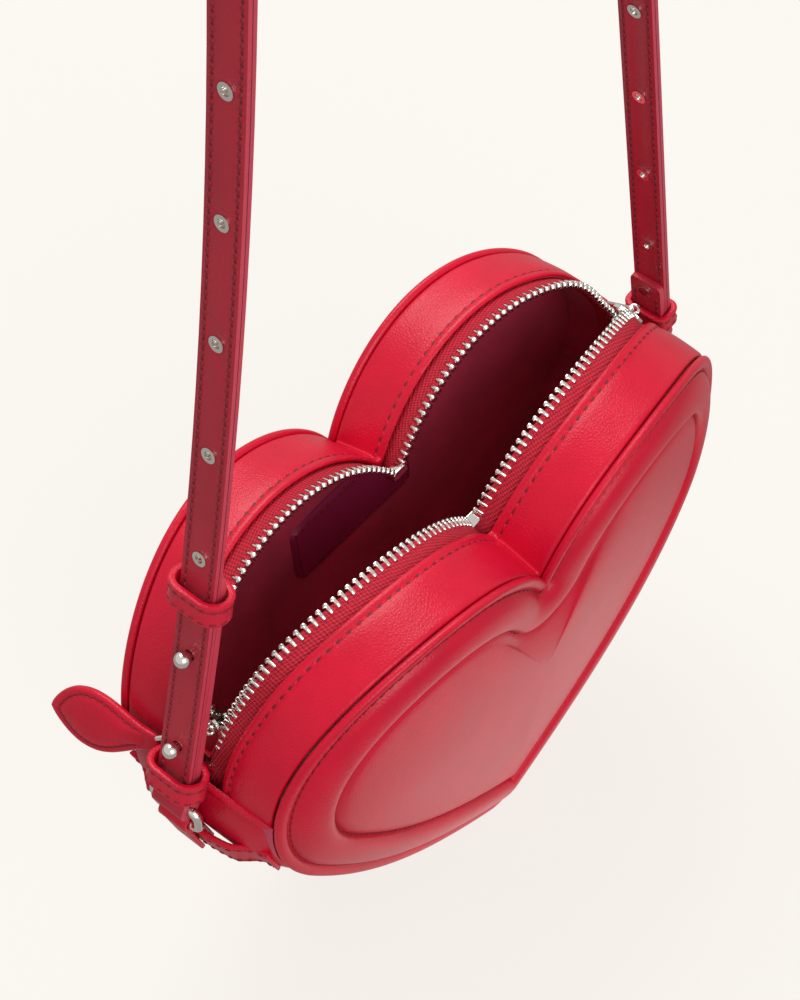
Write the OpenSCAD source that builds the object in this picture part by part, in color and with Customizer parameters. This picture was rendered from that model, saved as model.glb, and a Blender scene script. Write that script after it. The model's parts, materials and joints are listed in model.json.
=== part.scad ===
// Heart shaped purse on a shoulder strap, hung up by the strap.
// X runs across the heart, Y through its thickness with the front at -Y, Z is up.
// The origin is on the underside of the strap at its highest point, where it hangs.
// Heights inside the modules are counted from the lower corner of the heart, and
// hung() moves every piece down to the hanging frame.

/* [Heart outline] */
// Width of the heart across both lobes
heart_w = 180; // [170:1:195]
// Radius of each upper lobe
lobe_r = 47.5; // [46:0.5:49]
// How far the notch lies below the tops of the lobes
notch_drop = 26.3; // [22:0.1:30]
// Height of the lobe centres above the lower corner
lobe_z = 104; // [98:1:112]
// How far the lobe's arc ends above its tangent towards the corner, in degrees
lobe_cut = 11.5; // [8:0.5:14]
// Radius that rounds the lower corner
tip_r = 12; // [8:1:16]

/* [Thickness] */
// Depth between the front and back seams where the bag is closed
gusset_depth = 48; // [44:1:54]
// How far the front seam bows out at the open mouth
front_bow = 11.5; // [6:0.5:12]
// How far the back seam bows out at the open mouth
back_bow = 9; // [6:0.5:12]

/* [Padded panels] */
// Thickness of the flat rim that is sewn to the gussets
rim_t = 2.2; // [1.8:0.1:3]
// Width of the flat rim
rim_w = 4.4; // [3.5:0.1:6]
// Width of a stitched groove
groove_w = 1; // [0.6:0.1:1.4]
// Depth of the groove along the rim
groove_d = 0.8; // [0.4:0.1:1.2]
// Height of the padded ring
puff_h = 6.6; // [4:0.2:8]
// Distance of the stitched inner heart from the seam
seam_at = 23.5; // [20:0.5:26]
// Height of the panel in the stitched inner heart's groove
seam_h = 3.8; // [3:0.1:5]
// Height of the padded centre
dome_h = 7.8; // [5:0.2:9]
// Thickness of the stiffener board behind each panel
board_t = 1.2; // [0.8:0.1:1.6]
// Thickness of the lining cloth
lining_t = 0.6; // [0.4:0.1:0.9]

/* [Gussets and zip] */
// Thickness of the gusset leather
gusset_t = 1.7; // [1.4:0.1:2]
// Width of the leather strip between seam and zip
strip_w = 16.5; // [14:0.5:17]
// Half angle of the mouth about the heart's hub, in degrees
mouth_angle = 85.8; // [82:0.2:87]
// Thickness of the zip tape
tape_t = 0.7; // [0.5:0.1:1]
// Width of tape caught under the leather strip
tape_tuck = 2.5; // [2:0.5:4]
// How far the teeth of the open zip stand above the line of the gusset
mouth_rise = 4; // [0:0.5:5]
// Distance from the seam to the middle of the teeth
chain_at = 22; // [20:0.5:22.5]
// Spacing of the teeth along the tape
tooth_pitch = 2.7; // [2.4:0.1:3.2]
// Length of a tooth across the tape
tooth_l = 4; // [3.4:0.1:4.4]
// Thickness of a tooth along the tape
tooth_t = 1; // [0.8:0.1:1.2]
// Width of a tooth's head along the tape
tooth_head = 1.5; // [1.2:0.1:1.8]
// Height of a tooth through the tape
tooth_h = 2.2; // [1.8:0.1:2.4]
// Length of the stop blocks at the notch
block_l = 5.5; // [4:0.5:6]
// Width of the stop blocks at the notch
block_w = 3.5; // [2.5:0.5:4]

/* [Sliders and pulls] */
// Angle of each slider on its lobe above the widest point, in degrees
slider_angle = 24; // [20:1:30]
// Length of a slider along the zip
slider_l = 10.5; // [9:0.5:12]
// Width of a slider at its open end
slider_w = 9.6; // [9:0.2:10.4]
// Thickness of a slider's plates
slider_plate = 1; // [0.8:0.1:1.2]
// Wire diameter of the slider's bridge and of the pull's eye
bridge_d = 0.9; // [0.7:0.1:1]
// Sideways reach of the metal link from the slider to the leaf
link_y = 13.5; // [12.5:0.5:15]
// Downward reach of the metal link
link_drop = 11; // [10:0.5:14]
// Length of the padded leather leaf from its rivet to its tip
leaf_l = 33; // [28:1:40]
// Width of the leaf
leaf_w = 17; // [14:0.5:19]
// Thickness of the leaf
leaf_t = 4; // [3.4:0.2:4.6]
// Angle at which the leaf hangs below the level, in degrees
leaf_fall = 19; // [10:1:24]

/* [Side bands and rings] */
// Angle of the side band on the lobe below the widest point, in degrees
band_angle = 15.3; // [14:0.1:17]
// Height of the side band
band_h = 12; // [10:0.5:12]
// Thickness of the side band
band_t = 1.6; // [1.2:0.1:2]
// How far the side band bows away from the gusset
band_rise = 4.2; // [3.6:0.1:5]
// Half length of the side band between its two ends
band_half = 23.3; // [20:0.1:23.5]
// Overlap of the bottom gusset over the zip gusset, its thickness
lap_t = 1.8; // [1.4:0.1:2]
// Height of the ring's lower bar above the middle of the band
ring_reach = 11.3; // [10.5:0.1:13]
// Wire diameter of the rectangular rings
ring_d = 2.6; // [2:0.1:3]
// Inner width of the rings
ring_w = 12; // [11.6:0.2:15]
// Spacing of the two long bars of a ring
ring_bars = 7; // [6.5:0.5:9]
// Thickness of the leather loop on the lower bar
loop_t = 1.3; // [1:0.1:1.5]
// Width of that loop
loop_w = 9; // [7:0.5:10]

/* [Strap] */
// Width of the strap
strap_w = 10; // [8:0.5:11]
// Thickness of the strap
strap_t = 2.4; // [2:0.1:2.6]
// Thickness of the tab behind each end of the strap
tab_t = 1.8; // [1.4:0.1:2]
// Lean of the strap at the left ring, in degrees
lean_low = 17.2; // [16:0.2:19]
// Lean of the strap's straight run on the left, in degrees
lean_high = 7.2; // [6.8:0.1:8]
// Radius of the strap's long curve above the left ring
sweep_r = 1310; // [1200:10:1400]
// Radius of the strap over the peg that it hangs from
rest_r = 12; // [8:1:16]
// Spacing of the holes along the strap
hole_pitch = 31; // [28:1:33]
// Number of eyelets at each end of the strap
eyelets = 6; // [3:1:7]
// Length of the left tab from the ring's bar
tab_left_l = 79; // [74:1:82]
// Length of the right tab from the ring's bar
tab_right_l = 25; // [23:1:28]
// Distance of the first stud on the left from the ring's bar
stud_at = 20.8; // [19.6:0.2:22]
// Distance of the first eyelet on the right from the ring's bar
eye_right_at = 40; // [36:1:44]
// Diameter of a stud's ball head
stud_d = 4.2; // [3.6:0.1:4.6]
// Diameter of the strap's holes
hole_d = 3; // [2.8:0.1:3.4]

/* [Keepers] */
// Height of a keeper along the strap
keeper_h = 10; // [8:0.5:10.5]
// Thickness of a keeper's leather
keeper_t = 1.7; // [1.3:0.1:1.9]
// Free space between the keeper and the edges of the strap
keeper_side = 1.6; // [1.2:0.1:2]
// Distance of the two lower keepers from the ring's bar
keeper_low = 7.5; // [7:0.1:8]
// Distance of the upper left keeper from the ring's bar
keeper_high = 68.5; // [66:0.5:70]

/* [Hidden] */

// Colours
red = [0.80, 0.13, 0.22];
strap_red = [0.69, 0.21, 0.26];
lining_red = [0.37, 0.08, 0.13];
nickel = [0.80, 0.80, 0.79];

// Clearances: between pieces of the bag, and between pieces that move apart
seat = 0.1;
free = 0.3;
overrun = 1;

// Heart outline. Each half is an inner flank from the notch, a lobe, a side arc and the rounded corner.
lobe_x = heart_w / 2 - lobe_r;
lobe_c = [lobe_x, lobe_z];
top_z = lobe_z + lobe_r;
flank_r = (lobe_x * lobe_x + notch_drop * notch_drop) / (2 * notch_drop);
flank_c = [lobe_x, top_z - flank_r];
notch_z = top_z - notch_drop;
notch_angle = 180 - asin((notch_z - flank_c.y) / flank_r);
tangent_angle = acos(lobe_r / norm(lobe_c)) - (180 - atan2(lobe_z, lobe_x));
leave_angle = tangent_angle + lobe_cut;
leave_p = lobe_c + lobe_r * [cos(leave_angle), sin(leave_angle)];
inward = [-cos(leave_angle), -sin(leave_angle)];
side_r = -(leave_p * leave_p) / (2 * leave_p * inward);
side_c = leave_p + side_r * inward;
tip_c = [0, side_c.y - sqrt((side_r - tip_r) * (side_r - tip_r) - side_c.x * side_c.x)];
hub_share = 0.846;
hub = [0, lobe_z * hub_share];

// Distance from the hub to the far or near side of a circle, along direction u
function far(c, r, u) = let (m = c - hub, b = u * m) b + sqrt(r * r - m * m + b * b);
function near(c, r, u) = let (m = c - hub, b = u * m) b - sqrt(r * r - m * m + b * b);
function angle_of(p) = atan2(p.x, p.y - hub.y);
function on_circle(c, r, a) = c + r * [cos(a), sin(a)];
function side_end(d) = side_c + (tip_c - side_c) * (side_r - d) / (side_r - tip_r);

// Reach of the outline from the hub at angle a from the top, d inside the seam
function reach(a, d) =
    let (u = [sin(a), cos(a)])
    d > 0 && a < angle_of(on_circle(flank_c, flank_r - d, notch_angle)) ? near([0, notch_z], d, u)
    : a < angle_of([lobe_x, top_z - d]) ? far(flank_c, flank_r - d, u)
    : a < angle_of(on_circle(lobe_c, lobe_r - d, leave_angle)) ? far(lobe_c, lobe_r - d, u)
    : d >= tip_r || a < angle_of(side_end(d)) ? far(side_c, side_r - d, u)
    : far(tip_c, tip_r - d, u);

// Point [x, z] of the outline at a full turn's angle a, clockwise from the top seen from the front
function edge(a, d) =
    let (b = a > 180 ? a - 360 : a, r = reach(abs(b), d))
    [sign(b) * r * sin(abs(b)), hub.y + r * cos(b)];

// Distance of a seam from the middle plane, for the bow of its side
function seam(bow, p) = gusset_depth / 2
    + bow * (1 - pow(min(1, abs(p.x) / (heart_w / 2)), 3)) * pow(max(p.y, 0) / notch_z, 1.1);

// Angles of the outline's points over a full turn, closer together at the notch and the corner
fine_half = concat([0, 2], [for (a = [5:5:170]) a], [172.5, 175, 177.5]);
fine = concat(fine_half, [180], [for (i = [len(fine_half) - 1:-1:1]) 360 - fine_half[i]]);
coarse = concat([0, 2, 5], [for (a = [10:10:170]) a], [175, 180, 185], [for (a = [190:10:350]) a], [355, 358]);

// Closed form from rings of equal count, back to front, with a point at each end
module loft(rings, first, last) {
    n = len(rings[0]);
    m = len(rings);
    points = concat([first], [for (r = rings) each r], [last]);
    at = function (i, j) 1 + i * n + j % n;
    polyhedron(points, concat(
        [for (j = [0:n - 1]) [0, at(0, j + 1), at(0, j)]],
        [for (i = [0:m - 2], j = [0:n - 1]) each [
            [at(i, j), at(i, j + 1), at(i + 1, j + 1)],
            [at(i, j), at(i + 1, j + 1), at(i + 1, j)]]],
        [for (j = [0:n - 1]) [len(points) - 1, at(m - 1, j), at(m - 1, j + 1)]]));
}

// Closed strip from cross sections of equal even count, clockwise about the heart. The second half
// of a section faces its first half, so each end is closed by a row of quads.
module strip(sections) {
    n = len(sections[0]);
    m = len(sections);
    at = function (i, j) i * n + j % n;
    polyhedron([for (s = sections) each s], concat(
        [for (j = [0:n / 2 - 2]) [at(0, n - 1 - j), at(0, n - 2 - j), at(0, j + 1), at(0, j)]],
        [for (i = [0:m - 2], j = [0:n - 1]) each [
            [at(i, j), at(i, j + 1), at(i + 1, j + 1)],
            [at(i, j), at(i + 1, j + 1), at(i + 1, j)]]],
        [for (j = [0:n / 2 - 2]) [at(m - 1, j), at(m - 1, j + 1), at(m - 1, n - 2 - j), at(m - 1, n - 1 - j)]]));
}

// Moves a piece from the corner's height to the hanging frame
module hung() { translate([0, 0, -rest_z]) children(); }
// Turns a front piece into the back one
module rear() { mirror([0, 1, 0]) children(); }
// Turns a right hand piece into the left one, on the left side's strap path
module left() {
    $lean = left_lean;
    mirror([1, 0, 0]) children();
}
// Centre of the arc that an angle of the right lobe lies on, and what its radius has over the lobe's
function arc_c(a) = a > 90 ? flank_c : lobe_c;
function arc_over(a) = a > 90 ? flank_r - lobe_r : 0;
// Frame on the right lobe at an angle and a radius of the lobe: X outwards, Z along the seam
module on_lobe(a, r) {
    translate([arc_c(a).x, 0, arc_c(a).y]) rotate([0, -a, 0]) translate([r + arc_over(a), 0, 0]) children();
}

// Padded panels: [distance from the seam, height] from the rim to the stitched inner heart
puff_span = seam_at - rim_w;
puff_shares = [[0.08, 0.3], [0.2, 0.62], [0.42, 0.88], [0.68, 1], [0.88, 0.96], [0.97, 0.6]];
panel_rows = concat(
    [[0, rim_t * 0.3], [rim_t * 0.15, rim_t * 0.85], [rim_t * 0.7, rim_t], [rim_w - groove_w, rim_t],
        [rim_w, rim_t - groove_d]],
    [for (s = puff_shares) [rim_w + s[0] * puff_span, rim_t - groove_d + (puff_h - rim_t + groove_d) * s[1]]],
    [[seam_at, seam_h], [seam_at + groove_w, seam_h + (dome_h - seam_h) * 0.4]]);
dome_shares = [[0.8, 0.72], [0.45, 0.94]];
inner_row = panel_rows[len(panel_rows) - 1];

function ring_at(angles, d, bow, h, k = 1) = [for (a = angles)
    let (p = hub + (edge(a, d) - hub) * k) [p.x, -seam(bow, p) - h, p.y]];
function hub_point(bow, h) = [0, -seam(bow, hub) - h, hub.y];

// Flat faces carry rings at these shares of the way from the hub
core_shares = [0.35, 0.6, 0.8, 0.92, 1];
module panel(bow) {
    loft(concat(
        [for (k = core_shares) ring_at(fine, 0, bow, seat, k)],
        [for (row = panel_rows) ring_at(fine, row[0], bow, seat + row[1])],
        [for (s = dome_shares) ring_at(fine, inner_row[0], bow,
            seat + inner_row[1] + (dome_h - inner_row[1]) * s[1], s[0])]),
        hub_point(bow, seat), hub_point(bow, seat + dome_h));
}

// Flat layer behind a panel, from y0 to y1 inside the seam
board_inset = gusset_t + 3 * seat;
module layer(bow, y0, y1) {
    n = len(core_shares);
    loft(concat([for (k = core_shares) ring_at(coarse, board_inset, bow, -y1, k)],
        [for (i = [n - 1:-1:0]) ring_at(coarse, board_inset, bow, -y0, core_shares[i])]),
        hub_point(bow, -y1), hub_point(bow, -y0));
}
board_y = free;
lining_y = board_y + board_t + free;

// Zip gusset strips and tapes: sections hold [inset, distance inside the seam]
mouth_angles = concat([-mouth_angle], [for (a = [-80:5:-5]) a], [-2, 0, 2],
    [for (a = [5:5:80]) a], [mouth_angle]);
// The open zip rises from rise_from to rise_full, counted as angles on the lobe, and from the seam inwards
rise_from = slider_angle + 8;
rise_full = slider_angle + 36;
function smooth(t) = let (c = max(0, min(1, t))) c * c * (3 - 2 * c);
function rise_at(p) = mouth_rise
    * smooth((atan2(p.y - lobe_z, abs(p.x) - lobe_x) - rise_from) / (rise_full - rise_from));
function lift(y) = pow(y / chain_at, 2);
function swept(angles, bow, rows) = [for (a = angles)
    let (e = edge(a, 0), y = -seam(bow, e), up = rise_at(e))
    [for (r = rows) let (p = edge(a, r[0] - up * lift(r[1]))) [p.x, y + r[1], p.y]]];

fold_r = gusset_t * 0.4;
strip_rows = [[0, free], [0, strip_w * 0.4], [0, strip_w - tape_tuck], [0, strip_w - fold_r],
    [fold_r, strip_w], [gusset_t - fold_r, strip_w],
    [gusset_t, strip_w - fold_r], [gusset_t, strip_w - tape_tuck], [gusset_t, strip_w * 0.4], [gusset_t, free]];
tape_inset = gusset_t + 2 * seat;
tape_mid = tape_inset + tape_t / 2;
tape_end = chain_at - tooth_l / 2 - free;
tape_rows = [[tape_inset, strip_w - tape_tuck], [tape_inset, tape_end],
    [tape_inset + tape_t, tape_end], [tape_inset + tape_t, strip_w - tape_tuck]];

// Bottom gusset from seam to seam, with a lap over the lower ends of the zip gussets
lap_top = mouth_angle - 2.5;
gap_angle = 0.7;
function band_rows(a, d0, d1, y) = let (e = edge(a, 0), p0 = edge(a, d0), p1 = edge(a, d1),
    f = -seam(front_bow, e) + y, b = seam(back_bow, e) - y)
    [[p0.x, f, p0.y], [p0.x, b, p0.y], [p1.x, b, p1.y], [p1.x, f, p1.y]];
// [angle beyond the mouth, outer inset, inner inset] at the gusset's upper end
lap_rows = [[-2.5, seat - lap_t, -seat], [gap_angle * 0.7, -lap_t, -seat], [gap_angle, -lap_t, gusset_t],
    [gap_angle + 2, -lap_t, gusset_t], [gap_angle + 3, 0, gusset_t]];
gusset_rows = concat(
    [for (r = lap_rows) [mouth_angle + r[0], r[1], r[2]]],
    [for (a = [95:5:265]) [a, 0, gusset_t]],
    [for (i = [len(lap_rows) - 1:-1:0]) let (r = lap_rows[i]) [360 - mouth_angle - r[0], r[1], r[2]]]);

// Zip: places along the right lobe, as angles about the lobe's centre
chain_r = lobe_r - tape_mid;
pitch_angle = tooth_pitch / chain_r * 180 / PI;
block_angle = block_l / chain_r * 180 / PI;
chain_start = slider_angle - pitch_angle;
chain_stop = acos(-lobe_x / (chain_r + arc_over(180) + mouth_rise)) - block_angle * 0.75;
// Teeth keep their spacing along the risen tape: angle, radius and tilt of each
function chain_rise(a) = rise_at(on_circle(arc_c(a), lobe_r + arc_over(a), a));
function chain_next(a) = a + pitch_angle * chain_r / (chain_r + arc_over(a) + chain_rise(a));
function chain_list(a) = a > chain_stop ? [] : concat([a], chain_list(chain_next(a)));
chain_tilt = atan(2 * mouth_rise / chain_at);
function chain_y(bow, a) = let (up = chain_rise(a))
    chain_at - seam(bow, edge(angle_of(on_circle(arc_c(a), chain_r + arc_over(a) + up, a)), 0));

module tooth() {
    head_l = tooth_l * 0.3;
    rotate([0, 90, 0]) linear_extrude(tooth_h, center = true) polygon([
        [-tooth_t / 2, -tooth_l / 2], [tooth_t / 2, -tooth_l / 2],
        [tooth_t / 2, tooth_l / 2 - head_l], [tooth_head / 2, tooth_l / 2 - head_l],
        [tooth_head / 2, tooth_l / 2], [-tooth_head / 2, tooth_l / 2],
        [-tooth_head / 2, tooth_l / 2 - head_l], [-tooth_t / 2, tooth_l / 2 - head_l]]);
}

module teeth(bow) {
    for (a = chain_list(chain_start)) {
        up = chain_rise(a);
        on_lobe(a, chain_r + up) translate([0, chain_y(bow, a), 0])
            rotate([0, 0, mouth_rise > 0 ? -chain_tilt * up / mouth_rise : 0]) tooth();
    }
}

module stop_block(bow) {
    y = tape_end + free + block_w / 2 - seam(bow, [0, notch_z]);
    translate([0, y, edge(0, tape_mid - mouth_rise).y]) rotate([chain_tilt, 0, 0])
        linear_extrude(tooth_h * 1.1, center = true) square([block_l, block_w], center = true);
}

// Sliders ride on the teeth between two plates joined by a post
plate_at = tooth_h / 2 + free / 2 + slider_l * slider_l / (8 * chain_r);
slider_top = plate_at + slider_plate;
module slider_outline() {
    tail_share = 0.74;
    nose_r = slider_w * 0.2;
    intersection() {
        polygon([[-slider_l / 2, -slider_w * tail_share / 2], [slider_l * 0.2, -slider_w / 2],
            [slider_l / 2, -slider_w * 0.36], [slider_l / 2, slider_w * 0.36],
            [slider_l * 0.2, slider_w / 2], [-slider_l / 2, slider_w * tail_share / 2]]);
        translate([-slider_l * 0.08, 0]) circle(r = slider_l * 0.6);
    }
}

bridge_r = bridge_d / 2;
bridge_rise = bridge_d * 4 / 3;
bridge_at = slider_top + bridge_rise + bridge_r;
bridge_half = slider_l * 0.24;
module slider() {
    on_lobe(slider_angle, chain_r) {
        rotate([0, -90, 0]) {
            translate([0, 0, -slider_top]) linear_extrude(slider_plate) slider_outline();
            translate([0, 0, plate_at]) linear_extrude(slider_plate) slider_outline();
        }
        post_w = tooth_pitch * 0.3;
        translate([0, 0, -slider_l / 2 + slider_l * 0.1])
            cube([2 * plate_at + overrun, post_w, slider_l * 0.2], center = true);
        for (s = [-1, 1]) translate([slider_top - bridge_r, 0, s * bridge_half])
            rotate([0, 90, 0]) cylinder(r = bridge_r, h = bridge_rise + bridge_d, $fn = 24);
        translate([bridge_at, 0, 0])
            cylinder(r = bridge_r, h = 2 * bridge_half + bridge_d, center = true, $fn = 24);
    }
}

// The pull: an eye round the bridge, a stem and a flat end that is riveted in the leaf
eye_r = bridge_d * 1.45;
stem_d = bridge_d * 1.7;
rivet_r = bridge_d * 0.8;
tab_r = rivet_r * 3;
link_angle = atan2(link_drop, link_y - eye_r);
link_run = norm([link_drop, link_y - eye_r]);
module pull_link() {
    on_lobe(slider_angle, chain_r + bridge_at) difference() {
        union() {
            translate([bridge_r * 0.8, 0, 0])
                rotate_extrude($fn = 32) translate([eye_r, 0]) circle(r = bridge_r, $fn = 12);
            translate([0, eye_r, 0]) rotate([-90 - link_angle, 0, 0])
                cylinder(d = stem_d, h = link_run - rivet_r * 1.6, $fn = 16);
            translate([0, link_y, -link_drop]) rotate([0, 90, 0])
                cylinder(r = tab_r, h = bridge_d * 1.2, center = true, $fn = 32);
        }
        translate([0, link_y, -link_drop]) rotate([0, 90, 0])
            cylinder(r = rivet_r + seat, h = slider_l, center = true, $fn = 32);
    }
}

// Half width of the leaf along its length, as shares
leaf_shares = [[-0.1, 0.2], [-0.06, 0.3], [0.08, 0.42], [0.25, 0.66], [0.45, 0.9], [0.62, 1], [0.78, 0.96],
    [0.9, 0.76], [0.97, 0.45], [1, 0.14]];
function leaf_ring(x, k) = let (m = (leaf_shares[0] + leaf_shares[len(leaf_shares) - 1]) / 2 * [1, 0])
    concat([for (s = leaf_shares) [x, leaf_l * (m + (s[0] - m) * k), s[1] * k * leaf_w / 2]],
    [for (i = [len(leaf_shares) - 1:-1:0]) let (s = leaf_shares[i])
        [x, leaf_l * (m + (s[0] - m) * k), -s[1] * k * leaf_w / 2]]);
leaf_rows = [[-1, 0.6], [-0.86, 0.86], [-0.4, 0.97], [0.4, 0.97], [0.86, 0.86], [1, 0.6]];
module leaf() {
    on_lobe(slider_angle, chain_r + bridge_at) translate([0, link_y, -link_drop])
        rotate([-leaf_fall, 0, 0]) {
            difference() {
                loft([for (r = leaf_rows) leaf_ring(r[0] * leaf_t / 2, r[1])],
                    [-leaf_t / 2, leaf_l * 0.45, 0], [leaf_t / 2, leaf_l * 0.45, 0]);
                slot = bridge_d * 1.2 + 2 * free;
                translate([-slot / 2, -leaf_w, -leaf_w]) cube([slot, leaf_w + tab_r * 1.8, 2 * leaf_w]);
            }
            rotate([0, 90, 0]) cylinder(r = rivet_r, h = leaf_t, center = true, $fn = 32);
        }
}

// Side band: an arc in plan that bridges the gusset
band_base = lobe_r + lap_t + seat;
band_u = band_base + band_rise + band_t / 2;
band_r = (band_half * band_half + band_rise * band_rise) / (2 * band_rise);
band_span = asin(band_half / band_r);
module side_band() {
    on_lobe(-band_angle, band_base + band_rise - band_r) translate([0, 0, -band_h / 2])
        rotate([0, 0, -band_span]) rotate_extrude(angle = 2 * band_span, $fn = 180)
            translate([band_r, 0]) square([band_t, band_h]);
}

// Rings hang with their lower bar in the loop and their upper bar in the tab
ring_r = ring_d / 2;
bar_low = [lobe_x + band_u * cos(band_angle) + ring_reach * sin(band_angle),
    lobe_z - band_u * sin(band_angle) + ring_reach * cos(band_angle)];
ring_x = bar_low.x;
ring_z = bar_low.y + ring_bars;
corner_r = ring_d * 0.85;
module side_ring() {
    half = ring_w / 2 + ring_r - corner_r;
    long = ring_bars - 2 * corner_r;
    translate([ring_x, 0, ring_z - ring_bars / 2]) {
        for (s = [-1, 1]) {
            translate([0, 0, s * ring_bars / 2]) rotate([90, 0, 0])
                cylinder(r = ring_r, h = 2 * half, center = true, $fn = 32);
            translate([0, s * (half + corner_r), 0])
                cylinder(r = ring_r, h = long, center = true, $fn = 32);
            for (t = [-1, 1]) translate([0, s * half, t * long / 2])
                mirror([0, s < 0 ? 1 : 0, 0]) mirror([0, 0, t < 0 ? 1 : 0]) rotate([90, 0, 90])
                    rotate_extrude(angle = 90, $fn = 64) translate([corner_r, 0]) circle(r = ring_r, $fn = 32);
        }
    }
}

// Leather loop round the ring's lower bar, with its two ends on both sides of the band
loop_in = ring_r + seat;
module ring_loop() {
    slot = band_t / 2 + 2 * seat + loop_w * loop_w / (8 * band_r);
    tail = band_h * 0.42;
    on_lobe(-band_angle, band_u) rotate([90, 0, 0]) linear_extrude(loop_w, center = true) difference() {
        union() {
            translate([0, ring_reach]) circle(r = loop_in + loop_t, $fn = 48);
            translate([-slot - loop_t, -tail]) square([2 * (slot + loop_t), tail + ring_reach]);
        }
        translate([0, ring_reach]) circle(r = loop_in, $fn = 48);
        translate([-slot, -tail - overrun]) square([2 * slot, tail + overrun + band_h / 2 + 2 * free]);
    }
}

// Strap path in the XZ plane from the ring's upper bar. On the left it has a long curve before its
// straight run, on the right it runs straight. Both end on the arc over the peg.
// Each side is [lean at the ring, lean of the run, radius of the curve].
left_lean = [lean_low, lean_high, sweep_r];
curve_x = ring_x - sweep_r * (cos(lean_high) - cos(lean_low));
curve_z = ring_z + sweep_r * (sin(lean_low) - sin(lean_high));
rest_c = curve_z + (curve_x - rest_r / cos(lean_high)) / tan(lean_high);
rest_z = rest_c + rest_r + seat;
rest_from_ring = [ring_x, rest_c - ring_z];
lean_right = acos(rest_r / norm(rest_from_ring)) - atan2(rest_from_ring.y, rest_from_ring.x);
$lean = [lean_right, lean_right, sweep_r];

function curve_l() = $lean[2] * ($lean[0] - $lean[1]) * PI / 180;
function lean_at(s) = s < curve_l() ? $lean[0] - s / $lean[2] * 180 / PI : $lean[1];
function curve_at(a) = [ring_x - $lean[2] * (cos(a) - cos($lean[0])), ring_z + $lean[2] * (sin($lean[0]) - sin(a))];
function path_at(s) = curve_at(lean_at(s)) + max(0, s - curve_l()) * [-sin($lean[1]), cos($lean[1])];
function off_path(s, d) = path_at(s) + d * [cos(lean_at(s)), sin(lean_at(s))];
function run_end(d) = [0, rest_c] + (rest_r + d) * [cos($lean[1]), sin($lean[1])];
// Outline [x, z] between two distances from the path, from s0 to s1
path_step = 16;
function run_line(s0, s1, d) = [for (i = [0:path_step]) off_path(s0 + (s1 - s0) * i / path_step, d)];

module across(w) { rotate([90, 0, 0]) linear_extrude(w, center = true) children(); }
// Frame on the strap: X outwards from the bag, Z along the strap
module on_path(s, d = 0) {
    p = off_path(s, d);
    translate([p.x, 0, p.y]) rotate([0, -lean_at(s), 0]) children();
}
module hole(s, d) { on_path(s) rotate([0, 90, 0]) cylinder(d = d, h = 8 * strap_t, center = true, $fn = 32); }

strap_in = seat;
strap_out = seat + strap_t;
fold_l = keeper_low * 0.48;
strap_start = fold_l + free;
eye_left = stud_at + 2 * hole_pitch;

// Line of the whole strap at a distance from the path, from the right ring over the peg to the left ring
peg_step = 32;
function side_line(d) = let (s = curve_l())
    concat(s > strap_start ? run_line(strap_start, s, d) : [off_path(strap_start, d)], [run_end(d)]);
function peg_line(d) = [for (i = [1:peg_step - 1])
    let (a = lean_right + (180 - lean_right - lean_high) * i / peg_step)
    [0, rest_c] + (rest_r + d) * [cos(a), sin(a)]];
function backwards(l) = [for (i = [len(l) - 1:-1:0]) l[i]];
function mirrored(l) = [for (p = l) [-p.x, p.y]];
function strap_line(d) = concat(side_line(d), peg_line(d), backwards(mirrored(let ($lean = left_lean) side_line(d))));

module shoulder_strap_body() {
    difference() {
        across(strap_w) polygon(concat(strap_line(strap_out), backwards(strap_line(strap_in))));
        for (i = [0:eyelets - 1]) {
            hole(eye_right_at + i * hole_pitch, hole_d);
            left() hole(eye_left + i * hole_pitch, hole_d);
        }
        hole(stud_at, hole_d);
        left() for (i = [0, 1]) hole(stud_at + i * hole_pitch, hole_d);
    }
}

// Tab: folded round the ring's upper bar, its long end behind the strap
fold_in = ring_r + seat;
fold_out = fold_in + tab_t;
function at_bar(x, y) = let (a = lean_at(0))
    [ring_x, ring_z] + x * [cos(a), sin(a)] + y * [-sin(a), cos(a)];
module tab(l, studs) {
    grip = fold_l * 0.6;
    difference() {
        across(strap_w) {
            difference() {
                union() {
                    translate([ring_x, ring_z]) circle(r = fold_out, $fn = 48);
                    polygon(concat(
                        [at_bar(-fold_out, 0), at_bar(fold_out, 0), at_bar(strap_out, fold_l)],
                        run_line(fold_l, l, 0), run_line(l, grip, -tab_t)));
                }
                translate([ring_x, ring_z]) circle(r = fold_in, $fn = 48);
                polygon([at_bar(-fold_in, 0), at_bar(fold_in, 0), at_bar(0, fold_in * 1.9)]);
            }
        }
        for (i = [0:studs - 1]) hole(stud_at + i * hole_pitch, 2 * neck_r + 2 * seat);
        // The long end is rounded
        on_path(l) tab_corner();
    }
}
module tab_corner() {
    r = strap_w / 2;
    rotate([0, 90, 0]) linear_extrude(6 * tab_t, center = true) difference() {
        translate([-overrun, -r - overrun]) square([r + overrun, 2 * (r + overrun)]);
        translate([r, 0]) circle(r = r, $fn = 64);
    }
}

// Studs: a foot inside the tab, a neck through the strap and a ball head outside
neck_r = 1.1;
foot_r = 1.9;
foot_t = 0.4;
module stud(s) {
    head_r = stud_d / 2;
    head_at = strap_out + free + head_r * 0.9;
    on_path(s) rotate([0, 90, 0]) rotate_extrude($fn = 48) {
        translate([0, -tab_t - seat - foot_t]) square([foot_r, foot_t]);
        translate([0, -tab_t - seat - foot_t]) square([neck_r, tab_t + foot_t + seat + head_at]);
        translate([0, head_at]) intersection() {
            circle(r = head_r, $fn = 48);
            translate([0, -head_r]) square([head_r, 2 * head_r]);
        }
    }
}

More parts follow.
